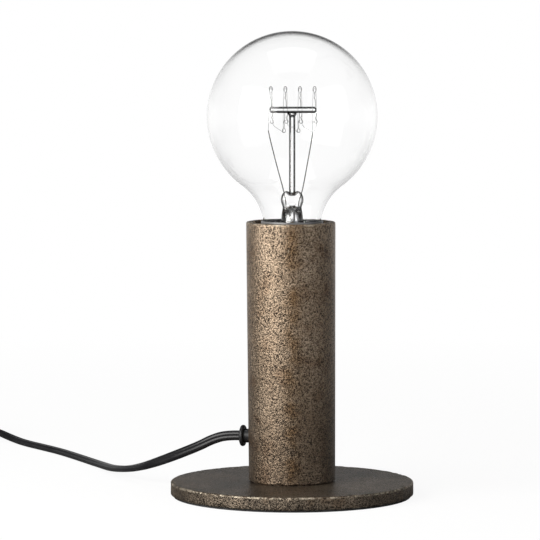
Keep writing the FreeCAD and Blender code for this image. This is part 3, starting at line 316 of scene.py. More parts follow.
def make_worn_edge():
    """Where an upper round edge is rubbed bare, between two radii and two heights in metres."""
    group, given, out = new_group(
        "worn_edge", [("Inside", "NodeSocketFloat", 0.0), ("Outside", "NodeSocketFloat", 0.1),
                      ("Below", "NodeSocketFloat", 0.0), ("Above", "NodeSocketFloat", 0.1)],
        [("Rubbed", "NodeSocketFloat")])
    where, split = on_the_piece(group)
    flat = node(group, "ShaderNodeCombineXYZ", [("X", split["X"]), ("Y", split["Y"])])
    reach = node(group, "ShaderNodeVectorMath", [(0, flat.outputs[0])], operation="LENGTH")
    brim = spread(group, reach.outputs["Value"], given["Inside"], given["Outside"])
    lip = spread(group, split["Z"], given["Below"], given["Above"])
    rubbed = spread(group, speckle(group, where, 420.0, 3.0), 0.46, 0.60, 0.0, 0.75)
    corner = reckon(group, "MULTIPLY", brim, lip)
    group.links.new(reckon(group, "MULTIPLY", corner, rubbed), out["Rubbed"])
    return group


MOTTLE = make_mottle()
CAST_SKIN = make_cast_skin()
WORN_EDGE = make_worn_edge()


# ------------------------------------------------------------------ finishes
def finish(name, **settings):
    """A new material; returns it, its tree and its shader with the given plain values set."""
    material = bpy.data.materials.new(name)
    material.use_nodes = True
    tree = material.node_tree
    shader = tree.nodes["Principled BSDF"]
    for key, value in settings.items():
        shader.inputs[key.replace("_", " ")].default_value = value
    return material, tree, shader


def bump(tree, shader, height, strength, distance):
    made = node(tree, "ShaderNodeBump", [("Height", height), ("Strength", strength),
                                         ("Distance", distance * MM)])
    tree.links.new(made.outputs[0], shader.inputs["Normal"])


def uneven_gloss(tree, shader, grains, rough):
    tree.links.new(spread(tree, grains, 0.3, 0.7, *rough), shader.inputs["Roughness"])


def grained(name, dark, light, rough, blotch=40.0, grain=1200.0, depth=0.02, strength=0.4,
            **settings):
    """A plain finish with slow colour change, fine grain and uneven gloss."""
    material, tree, shader = finish(name, **settings)
    masks = use_group(tree, MOTTLE, Blotch=blotch, Grain=grain)
    tree.links.new(ramp(tree, masks["Blotches"], [(0.3, dark), (0.7, light)]),
                   shader.inputs["Base Color"])
    uneven_gloss(tree, shader, masks["Grains"], rough)
    bump(tree, shader, masks["Grains"], strength, depth)
    return material


PIT_BLACK = (0.012, 0.009, 0.007, 1)
SCRATCHED_METAL = (0.42, 0.36, 0.26, 1)
RUBBED_METAL = (0.46, 0.40, 0.31, 1)
# The warm band down the column's middle: partly rust staining, partly a painted dark reflection.
STAIN_AND_REFLECTION_BROWN = (0.215, 0.122, 0.052, 1)
STAIN_AND_REFLECTION_REACH = (0.0065, 0.0010)
# Heights in metres over which the painted shade at the bottom of the column fades out.
FOOT_SHADE_Z = (0.009, 0.11)


def stain_and_reflection_down_the_front(tree, across, patches, strength):
    """A soft upright band in the middle, uneven over its height: partly rust staining, partly a
    painted dark reflection.
    """
    edge, core = STAIN_AND_REFLECTION_REACH
    left = spread(tree, across, -edge, -core)
    right = spread(tree, across, edge, core)
    uneven = spread(tree, patches, 0.36, 0.56, 0.0, strength)
    return reckon(tree, "MULTIPLY", reckon(tree, "MULTIPLY", left, right), uneven)


def cast_bronze(name, dark, light, rust, rough, pits, pit_size, grain_size, worn, foot_shade=1.0,
                stain_and_reflection=0.0):
    """Aged bronze on a casting: mottled brown, rust, grain, dark pits and worn edges; a painted
    shade darkens it towards the bottom, and a warm band down its middle, partly rust staining and
    partly a painted dark reflection, can be laid over it."""
    material, tree, shader = finish(name, Metallic=0.8)
    masks = use_group(tree, MOTTLE, Blotch=38.0, Grain=1600.0)
    patches = use_group(tree, MOTTLE, Blotch=85.0, Grain=420.0)
    skin = use_group(tree, CAST_SKIN, Pit_size=pit_size, Pits=pits, Grain_size=grain_size)
    _, split = on_the_piece(tree)
    colour = ramp(tree, masks["Blotches"], [(0.32, dark), (0.68, light)])
    colour = lay_over(tree, spread(tree, patches["Blotches"], 0.54, 0.68, 0.0, 0.5), colour,
                      (*rust, 1))
    # Partly rust staining and partly a painted dark reflection, as a band down the middle.
    if stain_and_reflection:
        streak = stain_and_reflection_down_the_front(tree, split["X"], patches["Blotches"], stain_and_reflection)
        colour = lay_over(tree, streak, colour, STAIN_AND_REFLECTION_BROWN)
    shade = ramp(tree, skin["Grain"], [(0.43, (0.12, 0.11, 0.10)), (0.50, (0.68, 0.68, 0.68)),
                                       (0.58, (1.0, 1.0, 1.0))])
    colour = lay_over(tree, 1.0, colour, shade, "MULTIPLY")
    colour = lay_over(tree, skin["Pit mask"], colour, PIT_BLACK)
    colour = lay_over(tree, skin["Scratches"], colour, SCRATCHED_METAL)
    # Painted shade: the colour is darkened towards the bottom, where the highlight fades.
    if foot_shade < 1:
        low, high = FOOT_SHADE_Z
        colour = lay_over(tree, 1.0, colour, spread(tree, split["Z"], low, high, foot_shade, 1.0),
                          "MULTIPLY")
    inside, outside, below, above = worn
    edge = use_group(tree, WORN_EDGE, Inside=inside, Outside=outside, Below=below, Above=above)
    colour = lay_over(tree, edge["Rubbed"], colour, RUBBED_METAL)
    tree.links.new(colour, shader.inputs["Base Color"])
    uneven_gloss(tree, shader, masks["Grains"], rough)
    bump(tree, shader, skin["Height"], 1.0, 0.25)
    return material


def edged_glass(name, refraction, stops, crown=None):
    """Clear glass with painted dark edges: it darkens where it turns away, standing in for the
    dark surroundings that its edges reflect and bend; crown gives the heights where that sets in.
    """
    material, tree, shader = finish(name, Roughness=0.0, IOR=refraction, Transmission_Weight=1.0)
    facing = tree.nodes.new("ShaderNodeLayerWeight").outputs["Facing"]
    # Painted reflection: the glass's colour goes dark towards its edges.
    painted_dark_edges = ramp(tree, facing, [(position, (level, level, level)) for position, level in stops])
    if crown:
        _, split = on_the_piece(tree)
        painted_dark_edges = lay_over(tree, spread(tree, split["Z"], *crown), (1, 1, 1, 1), painted_dark_edges)
    tree.links.new(painted_dark_edges, shader.inputs["Base Color"])
    return material


# The column: painted shade towards its bottom, and a band of rust staining with a painted dark
# reflection down its middle.
column_bronze = cast_bronze(
    "column_bronze", dark=(0.255, 0.183, 0.121), light=(0.40, 0.305, 0.217),
    rust=(0.16, 0.085, 0.041), rough=(0.30, 0.46), pits=0.44, pit_size=1300.0, grain_size=2000.0,
    worn=(0.0237, 0.0245, 0.1525, 0.1533), foot_shade=0.52, stain_and_reflection=0.7)
base_bronze = cast_bronze(
    "base_bronze", dark=(0.10, 0.078, 0.057), light=(0.24, 0.19, 0.14),
    rust=(0.13, 0.08, 0.045), rough=(0.34, 0.5), pits=0.42, pit_size=1000.0, grain_size=1700.0,
    worn=(0.0668, 0.0674, 0.0070, 0.0077))
# The globe's painted dark edges are kept to its top; on the rods and the stem they run all round.
clear_glass = edged_glass("clear_glass", 1.2, [(0.66, 1.0), (0.82, 0.2), (0.95, 0.02)],
                          (0.240, 0.253))
rod_glass = edged_glass("rod_glass", 1.52, [(0.03, 0.99), (0.075, 0.15), (0.13, 0.0015)])
stem_glass = edged_glass("stem_glass", 1.45, [(0.10, 0.99), (0.20, 0.25), (0.34, 0.004)])
satin_cord = grained("satin_cord", (0.005, 0.005, 0.006), (0.010, 0.010, 0.011), (0.26, 0.38),
                     blotch=60.0, grain=2500.0, depth=0.01, Specular_IOR_Level=0.28)
bush_black = grained("bush_black", (0.008, 0.008, 0.009), (0.014, 0.014, 0.015), (0.36, 0.50),
                     Specular_IOR_Level=0.25)
pad_black = grained("pad_black", (0.010, 0.010, 0.010), (0.020, 0.020, 0.020), (0.8, 0.95),
                    depth=0.06, strength=0.8)
holder_black = grained("holder_black", (0.010, 0.009, 0.009), (0.022, 0.020, 0.019), (0.35, 0.5))
moulded_black = grained("moulded_black", (0.008, 0.008, 0.009), (0.016, 0.016, 0.017),
                        (0.30, 0.42), grain=1800.0)
zinc_steel = grained("zinc_steel", (0.48, 0.49, 0.50), (0.66, 0.67, 0.68), (0.28, 0.42),
                     Metallic=1.0)
brass_sheet = grained("brass_sheet", (0.52, 0.36, 0.13), (0.72, 0.53, 0.24), (0.22, 0.34),
                      Metallic=1.0)
steatite = grained("steatite", (0.72, 0.70, 0.65), (0.84, 0.82, 0.77), (0.45, 0.6))
pale_cement = grained("pale_cement", (0.60, 0.56, 0.49), (0.75, 0.71, 0.64), (0.8, 0.95),
                      depth=0.05, strength=0.9)
black_glass = grained("black_glass", (0.010, 0.010, 0.014), (0.020, 0.020, 0.026), (0.06, 0.14))
solder_tin = grained("solder_tin", (0.40, 0.40, 0.39), (0.62, 0.61, 0.59), (0.25, 0.45),
                     Metallic=1.0)
dark_wire = grained("dark_wire", (0.015, 0.014, 0.013), (0.04, 0.038, 0.036), (0.35, 0.5),
                    Metallic=0.7)
fine_wire = grained("fine_wire", (0.015, 0.014, 0.013), (0.04, 0.038, 0.036), (0.35, 0.5),
                    Metallic=0.8)
skirt_grey = grained("skirt_grey", (0.07, 0.07, 0.07), (0.11, 0.11, 0.11), (0.3, 0.42))
nickel_pins = grained("nickel_pins", (0.55, 0.53, 0.48), (0.70, 0.68, 0.62), (0.18, 0.28),
                      Metallic=1.0)
wire_jacket = grained("wire_jacket", (0.16, 0.07, 0.03), (0.24, 0.11, 0.05), (0.35, 0.5))


def paint(piece, material):
    piece.data.materials.clear()
    piece.data.materials.append(material)
    return piece


def hand_over(piece, material, body, slot, *nodes):
    """Gives a finished piece its finish and body, and hides the CAD nodes it stands for."""
    paint(piece, material)
    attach(piece, body)
    if nodes:
        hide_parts(*nodes)
    return piece


# ------------------------------------------------------------------ camera, floor and light
CAMERA_LENS = 255.32
CAMERA_PLACE = (0.0, -2.1281, 0.3021)
CAMERA_DIP = 0.0822
CAMERA_ROLL = 0.0058


def set_camera():
    """The camera as fitted to the base, the rim and the column's edges."""
    data = bpy.data.cameras.new("photo_camera")
    data.lens = CAMERA_LENS
    data.sensor_width = 36.0
    data.clip_end = 200.0
    camera = bpy.data.objects.new("photo_camera", data)
    camera.location = CAMERA_PLACE
    camera.rotation_euler = (math.pi / 2 - CAMERA_DIP, 0.0, CAMERA_ROLL)
    bpy.context.scene.collection.objects.link(camera)
    bpy.context.scene.camera = camera
    bpy.context.scene.view_settings.view_transform = "Standard"


def soft_light(name, power, size, position, target, colour=(1, 1, 1)):
    data = bpy.data.lights.new(name, "AREA")
    data.shape = "RECTANGLE"
    data.size, data.size_y = size
    data.energy = power
    data.color = colour
    lamp = bpy.data.objects.new(name, data)
    lamp.location = position
    lamp.rotation_euler = (Vector(target) - Vector(position)).to_track_quat("-Z", "Y").to_euler()
    bpy.context.scene.collection.objects.link(lamp)


def make_backdrop():
    """How bright the studio is in a direction: for gloss white behind the lamp and dark in front,
    for light through glass white all round and dark only high up."""
    group, given, out = new_group("backdrop", [("Direction", "NodeSocketVector", (0, 1, 0))],
                                  [("Gloss", "NodeSocketFloat"), ("Through", "NodeSocketFloat")])
    ahead = node(group, "ShaderNodeVectorMath", [(0, given["Direction"])], operation="NORMALIZE")
    split = node(group, "ShaderNodeSeparateXYZ", [("Vector", ahead.outputs[0])]).outputs
    white = spread(group, split["Y"], 0.82, 0.94)
    flank = spread(group, split["Y"], 0.40, 0.62, 0.04, 0.85)
    above = spread(group, split["Z"], 0.02, 0.32, 1.0, 0.08)
    behind = reckon(group, "MAXIMUM", white, flank)
    group.links.new(reckon(group, "MULTIPLY", behind, above), out["Gloss"])
    group.links.new(spread(group, split["Z"], 0.03, 0.22, 1.0, 0.06), out["Through"])
    return group


BACKDROP = make_backdrop()


def backdrop_level(tree, socket, near, far):
    """The backdrop's strength for each kind of ray, plain white for the camera; with it the ray's
    kinds and the distance from the lamp."""
    where = tree.nodes.new("ShaderNodeTexCoord").outputs[socket]
    away = node(tree, "ShaderNodeVectorMath", [(0, where)], operation="LENGTH").outputs["Value"]
    drop = node(tree, "ShaderNodeGroup", [], node_tree=BACKDROP)
    tree.links.new(where, drop.inputs["Direction"])
    ray = tree.nodes.new("ShaderNodeLightPath").outputs
    gloss = reckon(tree, "MULTIPLY", drop.outputs["Gloss"], spread(tree, away, near, far, 0.10))
    through = reckon(tree, "MULTIPLY", drop.outputs["Through"], ray["Is Transmission Ray"])
    level = reckon(tree, "MAXIMUM", gloss, through)
    return reckon(tree, "MAXIMUM", level, ray["Is Camera Ray"]), ray, away


def set_floor():
    """A pale floor that keeps the lamp's shadow near it and is plain white further off."""
    deselect()
    bpy.ops.mesh.primitive_plane_add(size=60, location=(0, 0, 0))
    floor = call_it("floor")
    material = bpy.data.materials.new("pale_floor")
    material.use_nodes = True
    tree = material.node_tree
    tree.nodes.clear()
    level, ray, away = backdrop_level(tree, "Object", 0.5, 1.2)
    seen = reckon(tree, "MAXIMUM", ray["Is Camera Ray"], ray["Is Glossy Ray"])
    seen = reckon(tree, "MAXIMUM", seen, ray["Is Transmission Ray"])
    share = reckon(tree, "MULTIPLY", seen, spread(tree, away, 0.15, 0.9, 0.90, 1.0))
    matte = node(tree, "ShaderNodeBsdfDiffuse", [("Color", (0.86, 0.86, 0.86, 1))])
    glow = node(tree, "ShaderNodeEmission", [("Color", (1, 1, 1, 1)), ("Strength", level)])
    mixed = node(tree, "ShaderNodeMixShader", [(0, share), (1, matte.outputs[0]),
                                               (2, glow.outputs[0])])
    node(tree, "ShaderNodeOutputMaterial", [("Surface", mixed.outputs[0])])
    floor.data.materials.append(material)


def set_world():
    world = bpy.data.worlds.new("studio")
    bpy.context.scene.world = world
    world.use_nodes = True
    tree = world.node_tree
    tree.nodes.clear()
    level, _, _ = backdrop_level(tree, "Generated", 0.0, 0.5)
    light = node(tree, "ShaderNodeBackground", [("Color", (1, 1, 1, 1)), ("Strength", level)])
    node(tree, "ShaderNodeOutputWorld", [("Surface", light.outputs[0])])


LAMP_MIDDLE = (0, 0, 0.12)

set_camera()
set_floor()
set_world()
soft_light("key", 60, (1.7, 1.2), (-1.12, -1.0, 0.62), LAMP_MIDDLE, (1.0, 0.985, 0.96))
soft_light("fill", 9, (1.6, 1.2), (1.2, -0.85, 0.62), LAMP_MIDDLE, (0.96, 0.98, 1.0))
soft_light("top", 10, (1.2, 1.2), (0.0, -0.1, 1.7), (0, 0, 0.1))


# ------------------------------------------------------------------ the cord
FLOOR_Z = 2.85
LEAD_ROUTE = [(-28.53, 7.11, 33.0), (-36.29, 9.05, 33.0), (-44.6, 11.9, 30.4), (-53, 15.8, 25.6),
              (-74, 31, 15.6), (-90, 53, 9.0), (-103, 81, 4.9), (-113, 113, 3.25),
              (-127, 147, FLOOR_Z), (-140, 175, FLOOR_Z), (-153, 197, FLOOR_Z),
              (-165.5, 217.5, FLOOR_Z), (-174.64, 232.64, 4.0), (-184.54, 242.54, 7.0),
              (-190.2, 248.2, 7.0)]
COIL_Z = 3.7
LINK_ROUTE = [(-229.8, 287.8, 7.0), (-238.28, 296.28, 7.0), (-253, 305.5, 5.6),
              (-271, 305.5, 4.3), (-287, 296, COIL_Z), (-297, 281, COIL_Z),
              (-301.5, 262, COIL_Z), (-300, 235, COIL_Z), (-300, 207.6, COIL_Z)]
TAIL_ROUTE = [(-296.85, 196.4, 9.9), (-296.85, 186.4, 9.9), (-296.85, 170.4, 6.8),
              (-296.85, 160.4, 6.8)]
COIL_CENTRE = (-264, 202)
COIL_RADIUS = 36
COIL_STEP = 3.15
COIL_DRAW = 1.3
COIL_LAYER = 6.2
TURNS_IN = 5
POINTS_PER_HALF = 8
CORD_WIDE = 5.6
CORD_THICK = 3.7


def coil_points():
    """The put-away coil in half turns: inwards on the floor, up a layer, and outwards again."""
    inwards = [COIL_RADIUS - COIL_STEP * i for i in range(TURNS_IN)]
    inmost = inwards[-1] - COIL_STEP - COIL_DRAW
    radii = inwards + [inmost, inmost] + inwards[:0:-1]
    heights = [COIL_Z] * (TURNS_IN + 1) + [COIL_Z + COIL_LAYER] * TURNS_IN
    outside_the_arc = 1 / math.cos(math.pi / POINTS_PER_HALF / 2)
    points = []
    for i in range(1, POINTS_PER_HALF * (len(radii) - 1)):
        half, part = divmod(i, POINTS_PER_HALF)
        part /= POINTS_PER_HALF
        radius = (radii[half] * (1 - part) + radii[half + 1] * part) * outside_the_arc
        height = heights[half] * (1 - part) + heights[half + 1] * part
        angle = math.pi + math.pi * i / POINTS_PER_HALF
        points.append((COIL_CENTRE[0] + radius * math.cos(angle),
                       COIL_CENTRE[1] + radius * math.sin(angle), height))
    return points


def along_spline(points, name):
    """The points that a smooth spline through the route gives, in metres."""
    drawn = splines(name, [points], 8)
    mesh = bpy.data.meshes.new_from_object(drawn)
    path = [v.co.copy() for v in mesh.vertices]
    bpy.data.objects.remove(drawn)
    bpy.data.meshes.remove(mesh)
    return path


GROOVE_ANGLE = 118


def flat_section():
    """The outline of the flat two-core cord: two rounds side by side with a groove between."""
    core = CORD_THICK / 2
    apart = CORD_WIDE / 2 - core
    round_side = arc((apart, 0), core, -GROOVE_ANGLE, GROOVE_ANGLE, 12)
    return round_side + [(-x, -y) for x, y in round_side]


def ease(x, start, end):
    t = min(max((x - start) / (end - start), 0), 1)
    return t * t * (3 - 2 * t)


def flat_cord(name, points, roll):
    """A flat cord along the route; roll gives, from the distances to its two ends in mm, how far
    it stands on its edge, from 0 (flat) to 1 (on edge)."""
    path = along_spline(points, name)
    reach = [0.0]
    for a, b in zip(path, path[1:]):
        reach.append(reach[-1] + (b - a).length / MM)
    section = flat_section()
    mesh = bmesh.new()
    rings = []
    centres = []
    for i, point in enumerate(path):
        ahead = (path[min(i + 1, len(path) - 1)] - path[max(i - 1, 0)]).normalized()
        side = ahead.cross(UP).normalized()
        over = side.cross(ahead)
        stand = roll(reach[i], reach[-1] - reach[i])
        angle = stand * math.pi / 2
        wide = side * math.cos(angle) + over * math.sin(angle)
        thin = wide.cross(ahead)
        half = CORD_THICK / 2 + (CORD_WIDE - CORD_THICK) / 2 * math.sin(angle) ** 2
        middle = point - UP * (CORD_WIDE / 2 - half) * MM
        centres.append(middle)
        rings.append([mesh.verts.new(middle + (wide * u + thin * v) * MM) for u, v in section])
    for a, b in zip(rings, rings[1:]):
        for k in range(len(section)):
            n = (k + 1) % len(section)
            mesh.faces.new((a[k], a[n], b[n], b[k]))
    mesh.faces.new(rings[0])
    mesh.faces.new(rings[-1])
    bmesh.ops.recalc_face_normals(mesh, faces=mesh.faces)
    data = bpy.data.meshes.new(name)
    mesh.to_mesh(data)
    mesh.free()
    piece = bpy.data.objects.new(name, data)
    bpy.context.scene.collection.objects.link(piece)
    return smooth(piece, 60), centres, reach[-1]


def lead_roll(done, _):
    """On its edge at the bush and flat on the floor from 105 mm on."""
    return 1 - ease(done, 30, 105)


def tail_roll(done, left):
    """On its edge in the coil, flat at the switch and at the plug."""
    return ease(done, 60, 130) * ease(left, 12, 45)


lead_cord, lead_path, lead_length = flat_cord("cord_lamp_to_switch", LEAD_ROUTE, lead_roll)
tail_points = LINK_ROUTE + coil_points() + TAIL_ROUTE
tail_cord, tail_path, tail_length = flat_cord("cord_switch_to_plug", tail_points, tail_roll)
hand_over(lead_cord, satin_cord, "lamp", "black_cord", "cord_to_switch")
hand_over(tail_cord, satin_cord, "lamp", "black_cord", "cord_to_coil", "cord_coil",
          "cord_to_plug")


# ------------------------------------------------------------------ base and column
BASE_R = 67.9
DISC_UNDER = 1.2
DISC_TOP = 8.4
RIM_Z = 153.8
FOOT_R = 24.15
RIM_R = 24.9
BORE_R = 21.5
BORE_FLOOR = 17.4
SHELF_R = 15.5
SHELF_Z = (81.8, 88.8)
LEAN = 0.75
HOLE_HEADING = math.radians(180 - 14)
HOLE_Z = 33
HOLE_R = 4.1
UNEVENNESS_SEED = 7

noise.seed_set(UNEVENNESS_SEED)


def roughen(piece, test, amount, scale, seed):
    """Moves the picked vertices in and out a little, as a casting's edge is uneven."""
    for vertex in piece.data.vertices:
        weight = test(vertex.co / MM)
        if weight:
            push = noise.noise_vector(vertex.co * scale + Vector((seed, seed, seed)))
            vertex.co += push * amount * MM * weight
    return piece


def chipped(piece, low, high, radius, depth, seed):
    """Small chips along a round edge between two heights."""
    for vertex in piece.data.vertices:
        p = vertex.co / MM
        reach = math.hypot(p.x, p.y)
        if not low <= p.z <= high or abs(reach - radius) > 1.2:
            continue
        angle = math.atan2(p.y, p.x)
        size = noise.noise(Vector((angle * 9, seed, 0))) + 0.5 * noise.noise(
            Vector((angle * 31, seed + 5, p.z * 0.3)))
        bite = max(0.0, size - 0.22) * depth
        vertex.co.x -= math.cos(angle) * bite * MM
        vertex.co.y -= math.sin(angle) * bite * MM
        vertex.co.z -= bite * 0.5 * MM * (1 if p.z > (low + high) / 2 else -1)
    return piece


def make_base():
    edge = 0.85
    section = [(0, DISC_UNDER), (40, DISC_UNDER), (66.6, DISC_UNDER)]
    section += arc((BASE_R - 0.5, DISC_UNDER + 0.5), 0.5, -90, 0, 3)
    section += [(BASE_R, 3.0), (BASE_R, 4.6), (BASE_R - 0.05, 6.2)]
    section += arc((BASE_R - edge, DISC_TOP - edge), edge, 0, 90, 5)
    section += [(radius, DISC_TOP) for radius in (66.0, 60, 40, FOOT_R + 1, 0)]
    disc = turned("disc_cast", section, 360)
    chipped(disc, DISC_TOP - 1.6, DISC_TOP + 0.1, BASE_R, 1.2, 3.0)
    chipped(disc, DISC_UNDER - 0.1, DISC_UNDER + 1.0, BASE_R, 1.5, 11.0)
    roughen(disc, lambda p: 1.0 if math.hypot(p.x, p.y) > 66 else 0.0, 0.09, 220, 7)
    smooth(disc, 50)
    hand_over(disc, base_bronze, "lamp", "bronze_cast", "base_disc")


def up_the_column(z):
    """How far up the column a height is, from 0 at its foot to 1 at its rim."""
    return (z - DISC_TOP) / (RIM_Z - DISC_TOP)


def make_column():
    heights = [9.3, 9.6, 10.6, 14, 30, 60, 90, 120, 140, 150, 152.2]
    low, high = SHELF_Z
    section = [(0, DISC_TOP), (FOOT_R - 1.3, DISC_TOP), (FOOT_R - 1.2, 8.8), (FOOT_R - 0.3, 9.0)]
    section += [(FOOT_R + (RIM_R - FOOT_R) * up_the_column(z), z) for z in heights]
    section += arc((RIM_R - 0.9, RIM_Z - 0.9), 0.9, 5, 90, 4)
    section += arc((BORE_R + 0.7, RIM_Z - 0.7), 0.7, 90, 180, 4)
    section += [(BORE_R, 140), (BORE_R, 110), (BORE_R, high), (SHELF_R, high), (SHELF_R, low),
                (BORE_R, low), (BORE_R, BORE_FLOOR), (0, BORE_FLOOR)]
    tube = turned("column_cast", section, 192)
    roughen(tube, lambda p: ease(p.z, 11, 8.4) if math.hypot(p.x, p.y) > 23 else 0.0,
            0.45, 260, 4)
    roughen(tube, lambda p: ease(p.z, 151, 153) * 0.5, 0.25, 200, 9)
    outside = Vector((math.cos(HOLE_HEADING) * 30, math.sin(HOLE_HEADING) * 30, HOLE_Z))
    cut_away(tube, bar_tool(HOLE_R, (0, 0, HOLE_Z), outside))
    for vertex in tube.data.vertices:
        vertex.co.x -= LEAN * MM * max(0, up_the_column(vertex.co.z / MM))
    clean(tube)
    smooth(tube, 45)
    hand_over(tube, column_bronze, "lamp", "bronze_cast", "column_tube")


def make_bush():
    """The bush from inside to outside: a lip in the bore, its neck, and a round flange."""
    section = [(3.15, 19.0), (4.6, 19.0), (5.2, 19.5), (5.2, 20.2), (3.9, 20.5), (3.9, 27.3),
               (4.8, 27.3)]
    section += arc((5.05, 28.2), 0.95, -75, 0, 5)
    section += arc((5.05, 28.5), 0.95, 0, 75, 5)
    section += [(4.6, 29.7), (3.9, 29.8)]
    section += arc((3.6, 29.4), 0.45, 60, 180, 4)
    section.append(section[0])
    bush = turned("bush", section, 64)
    along_hole = Matrix.Rotation(HOLE_HEADING, 4, "Z") @ Matrix.Rotation(math.pi / 2, 4, "Y")
    place(bush, Matrix.Translation((0, 0, HOLE_Z * MM)) @ along_hole)
    clean(bush)
    smooth(bush, 40)
    hand_over(bush, bush_black, "lamp", "black_rubber", "cord_grommet")


make_base()
make_column()
make_bush()


# ------------------------------------------------------------------ lampholder
THREAD_PITCH = 3.629
THREAD_STEP = 0.3


def threaded(piece, low, high, depth, outward):
    """Rolls a round thread into the part of a turned sleeve between two heights."""
    for vertex in piece.data.vertices:
        p = vertex.co / MM
        if not low <= p.z <= high:
            continue
        reach = math.hypot(p.x, p.y)
        if reach < 12.4:
            continue
        angle = math.atan2(p.y, p.x)
        wave = 0.5 + 0.5 * math.cos(2 * math.pi * (p.z / THREAD_PITCH) - angle)
        fade = ease(p.z, low, low + 1.2) * ease(-p.z, -high, -high + 1.2)
        shift = -depth * (1 - wave) * fade if outward else depth * wave * fade
        factor = (reach + shift) / reach
        vertex.co.x *= factor
        vertex.co.y *= factor
    return piece


def even_steps(radius, low, high):
    """Points up or down a straight wall, close enough for a thread."""
    count = max(1, round(abs(high - low) / THREAD_STEP))
    return [(radius, low + (high - low) * i / count) for i in range(count + 1)]


def make_holder():
    cup = turned("holder_cup_moulded", [
        (5.1, 94.3), (17.8, 94.3), (19, 95.5), (19, 97), (18.5, 97.6), (19, 98.2), (19, 114.2),
        (18.6, 114.8), (16.8, 114.8), (16.8, 107.05), (14.6, 107.05), (14.6, 99.3), (5.1, 99.3),
        (5.1, 94.3)], 96)
    smooth(cup, 30)
    hand_over(cup, holder_black, "lamp", "black_phenolic", "holder_cup")
    skirt = turned("holder_skirt_moulded", [
        (16.8, 114.9), (18.7, 114.9), (19, 115.3), (19, 119), (18.6, 119.4), (18.6, 120.2),
        (19, 120.6), (19, 148.3), (18.2, 149.2), (17.6, 150.4), (17.3, 154.0), (17.1, 154.4),
        (16.9, 154.4), (16.75, 154.0), (16.6, 149.0), (15.6, 148.8), (15.1, 148.4), (15.1, 146.8),
        (16.8, 146.8), (16.8, 126.25), (14.15, 126.25), (14.15, 123.7), (16.8, 123.7),
        (16.8, 114.9)], 96)
    smooth(skirt, 30)
    hand_over(skirt, skirt_grey, "lamp", "black_phenolic", "holder_skirt")
    section = even_steps(13.9, 123.65, 145.15)
    section += even_steps(13.5, 145.15, 123.65)
    section.append(section[0])
    shell = turned("screw_shell_rolled", section, 72)
    threaded(shell, 126.5, 144.5, -0.35, False)
    smooth(shell, 40)
    hand_over(shell, brass_sheet, "lamp", "brass_sheet", "screw_shell")


make_holder()


# ------------------------------------------------------------------ the bulb
GLOBE_R = 47.5
GLOBE_Z = 212.35
WAIST_R = 15.8
WAIST_Z = 150.05
GLASS_WALL = 0.5
PINCH_TOP = 171.25
BAR_Z = 216.05
BAR_R = 1.8
BAR_HALF = 13.1
HAIRPINS = (-11.9, -3.8, 4.3, 12.4)
TOP_EYE_Z = 228.3
LOW_EYE_Z = 208.6
LOOP_Z = 203.6
LEFT_TIP = (-13.2, 0, 204.1)
RIGHT_TIP = (11.3, 0, 202.8)


def globe_section(inset):
    """The glass from its top to the cap, moved inwards by the inset."""
    rise = GLOBE_Z - WAIST_Z
    curve = (WAIST_R ** 2 + rise ** 2 - GLOBE_R ** 2) / (2 * (GLOBE_R - WAIST_R))
    far = WAIST_R + curve
    meet = math.degrees(math.atan2(rise, far))
    section = arc((0, GLOBE_Z), GLOBE_R - inset, 90, -meet, 60)
    low = math.degrees(math.asin((154.4 - WAIST_Z) / curve))
    section += arc((far, WAIST_Z), curve + inset, 180 - meet, 180 - low, 24)[1:]
    end = section[-1]
    section += [(end[0] - 0.05, 153.6 + inset * 0.3), (15.2 - inset, 153.0 + inset * 0.7),
                (13.9 - inset, 152.75 + inset), (12.5 - inset, 152.6 + inset),
                (12.3 - inset, 151.6 + inset), (12.3 - inset, 147), (12.3 - inset, 141.9)]
    return section


def make_globe():
    section = globe_section(0.0) + list(reversed(globe_section(GLASS_WALL)))
    section[0] = (0, GLOBE_Z + GLOBE_R)
    section[-1] = (0, GLOBE_Z + GLOBE_R - GLASS_WALL)
    globe = turned("globe_glass", section, 160)
    smooth(globe, 60)
    hand_over(globe, clear_glass, "bulb", "clear_glass", "bulb_glass")


def make_cap():
    section = [(8.5, 129.3), (10.7, 129.3), (12.6, 131.2), (13.1, 131.9)]
    section += even_steps(13.1, 132.2, 147.4)
    section += [(13.1, 148.6), (13.3, 149.3), (13.9, 150.6), (14.25, 151.6), (14.3, 152.3),
                (13.95, 152.35), (13.6, 151.4), (12.8, 149.8), (12.65, 148.8)]
    section += even_steps(12.7, 147.4, 132.4)
    section += [(12.2, 132.2), (8.5, 131.9), (8.5, 129.3)]
    cap = turned("cap_threaded", section, 96)
    threaded(cap, 132.2, 147.4, 0.55, True)
    smooth(cap, 45)
    hand_over(cap, brass_sheet, "bulb", "brass_sheet", "bulb_cap")
    cone = turned("cap_insulator_glass", [
        (0, 126.45), (4.5, 126.45), (4.9, 126.7), (6.4, 127.6), (8.2, 129.0), (8.45, 129.4),
        (8.45, 132.0), (0, 132.0)], 72)
    smooth(cone, 40)
    hand_over(cone, black_glass, "bulb", "black_glass", "cap_insulator")
    tip = turned("tip_soldered", [
        (0, 125.25), (2.0, 125.3), (3.8, 125.6), (4.5, 126.1), (4.55, 126.45), (0, 126.45)], 64)
    smooth(tip, 40)
    hand_over(tip, solder_tin, "bulb_lift_carrier", "solder_tin", "tip_contact")


make_globe()
make_cap()


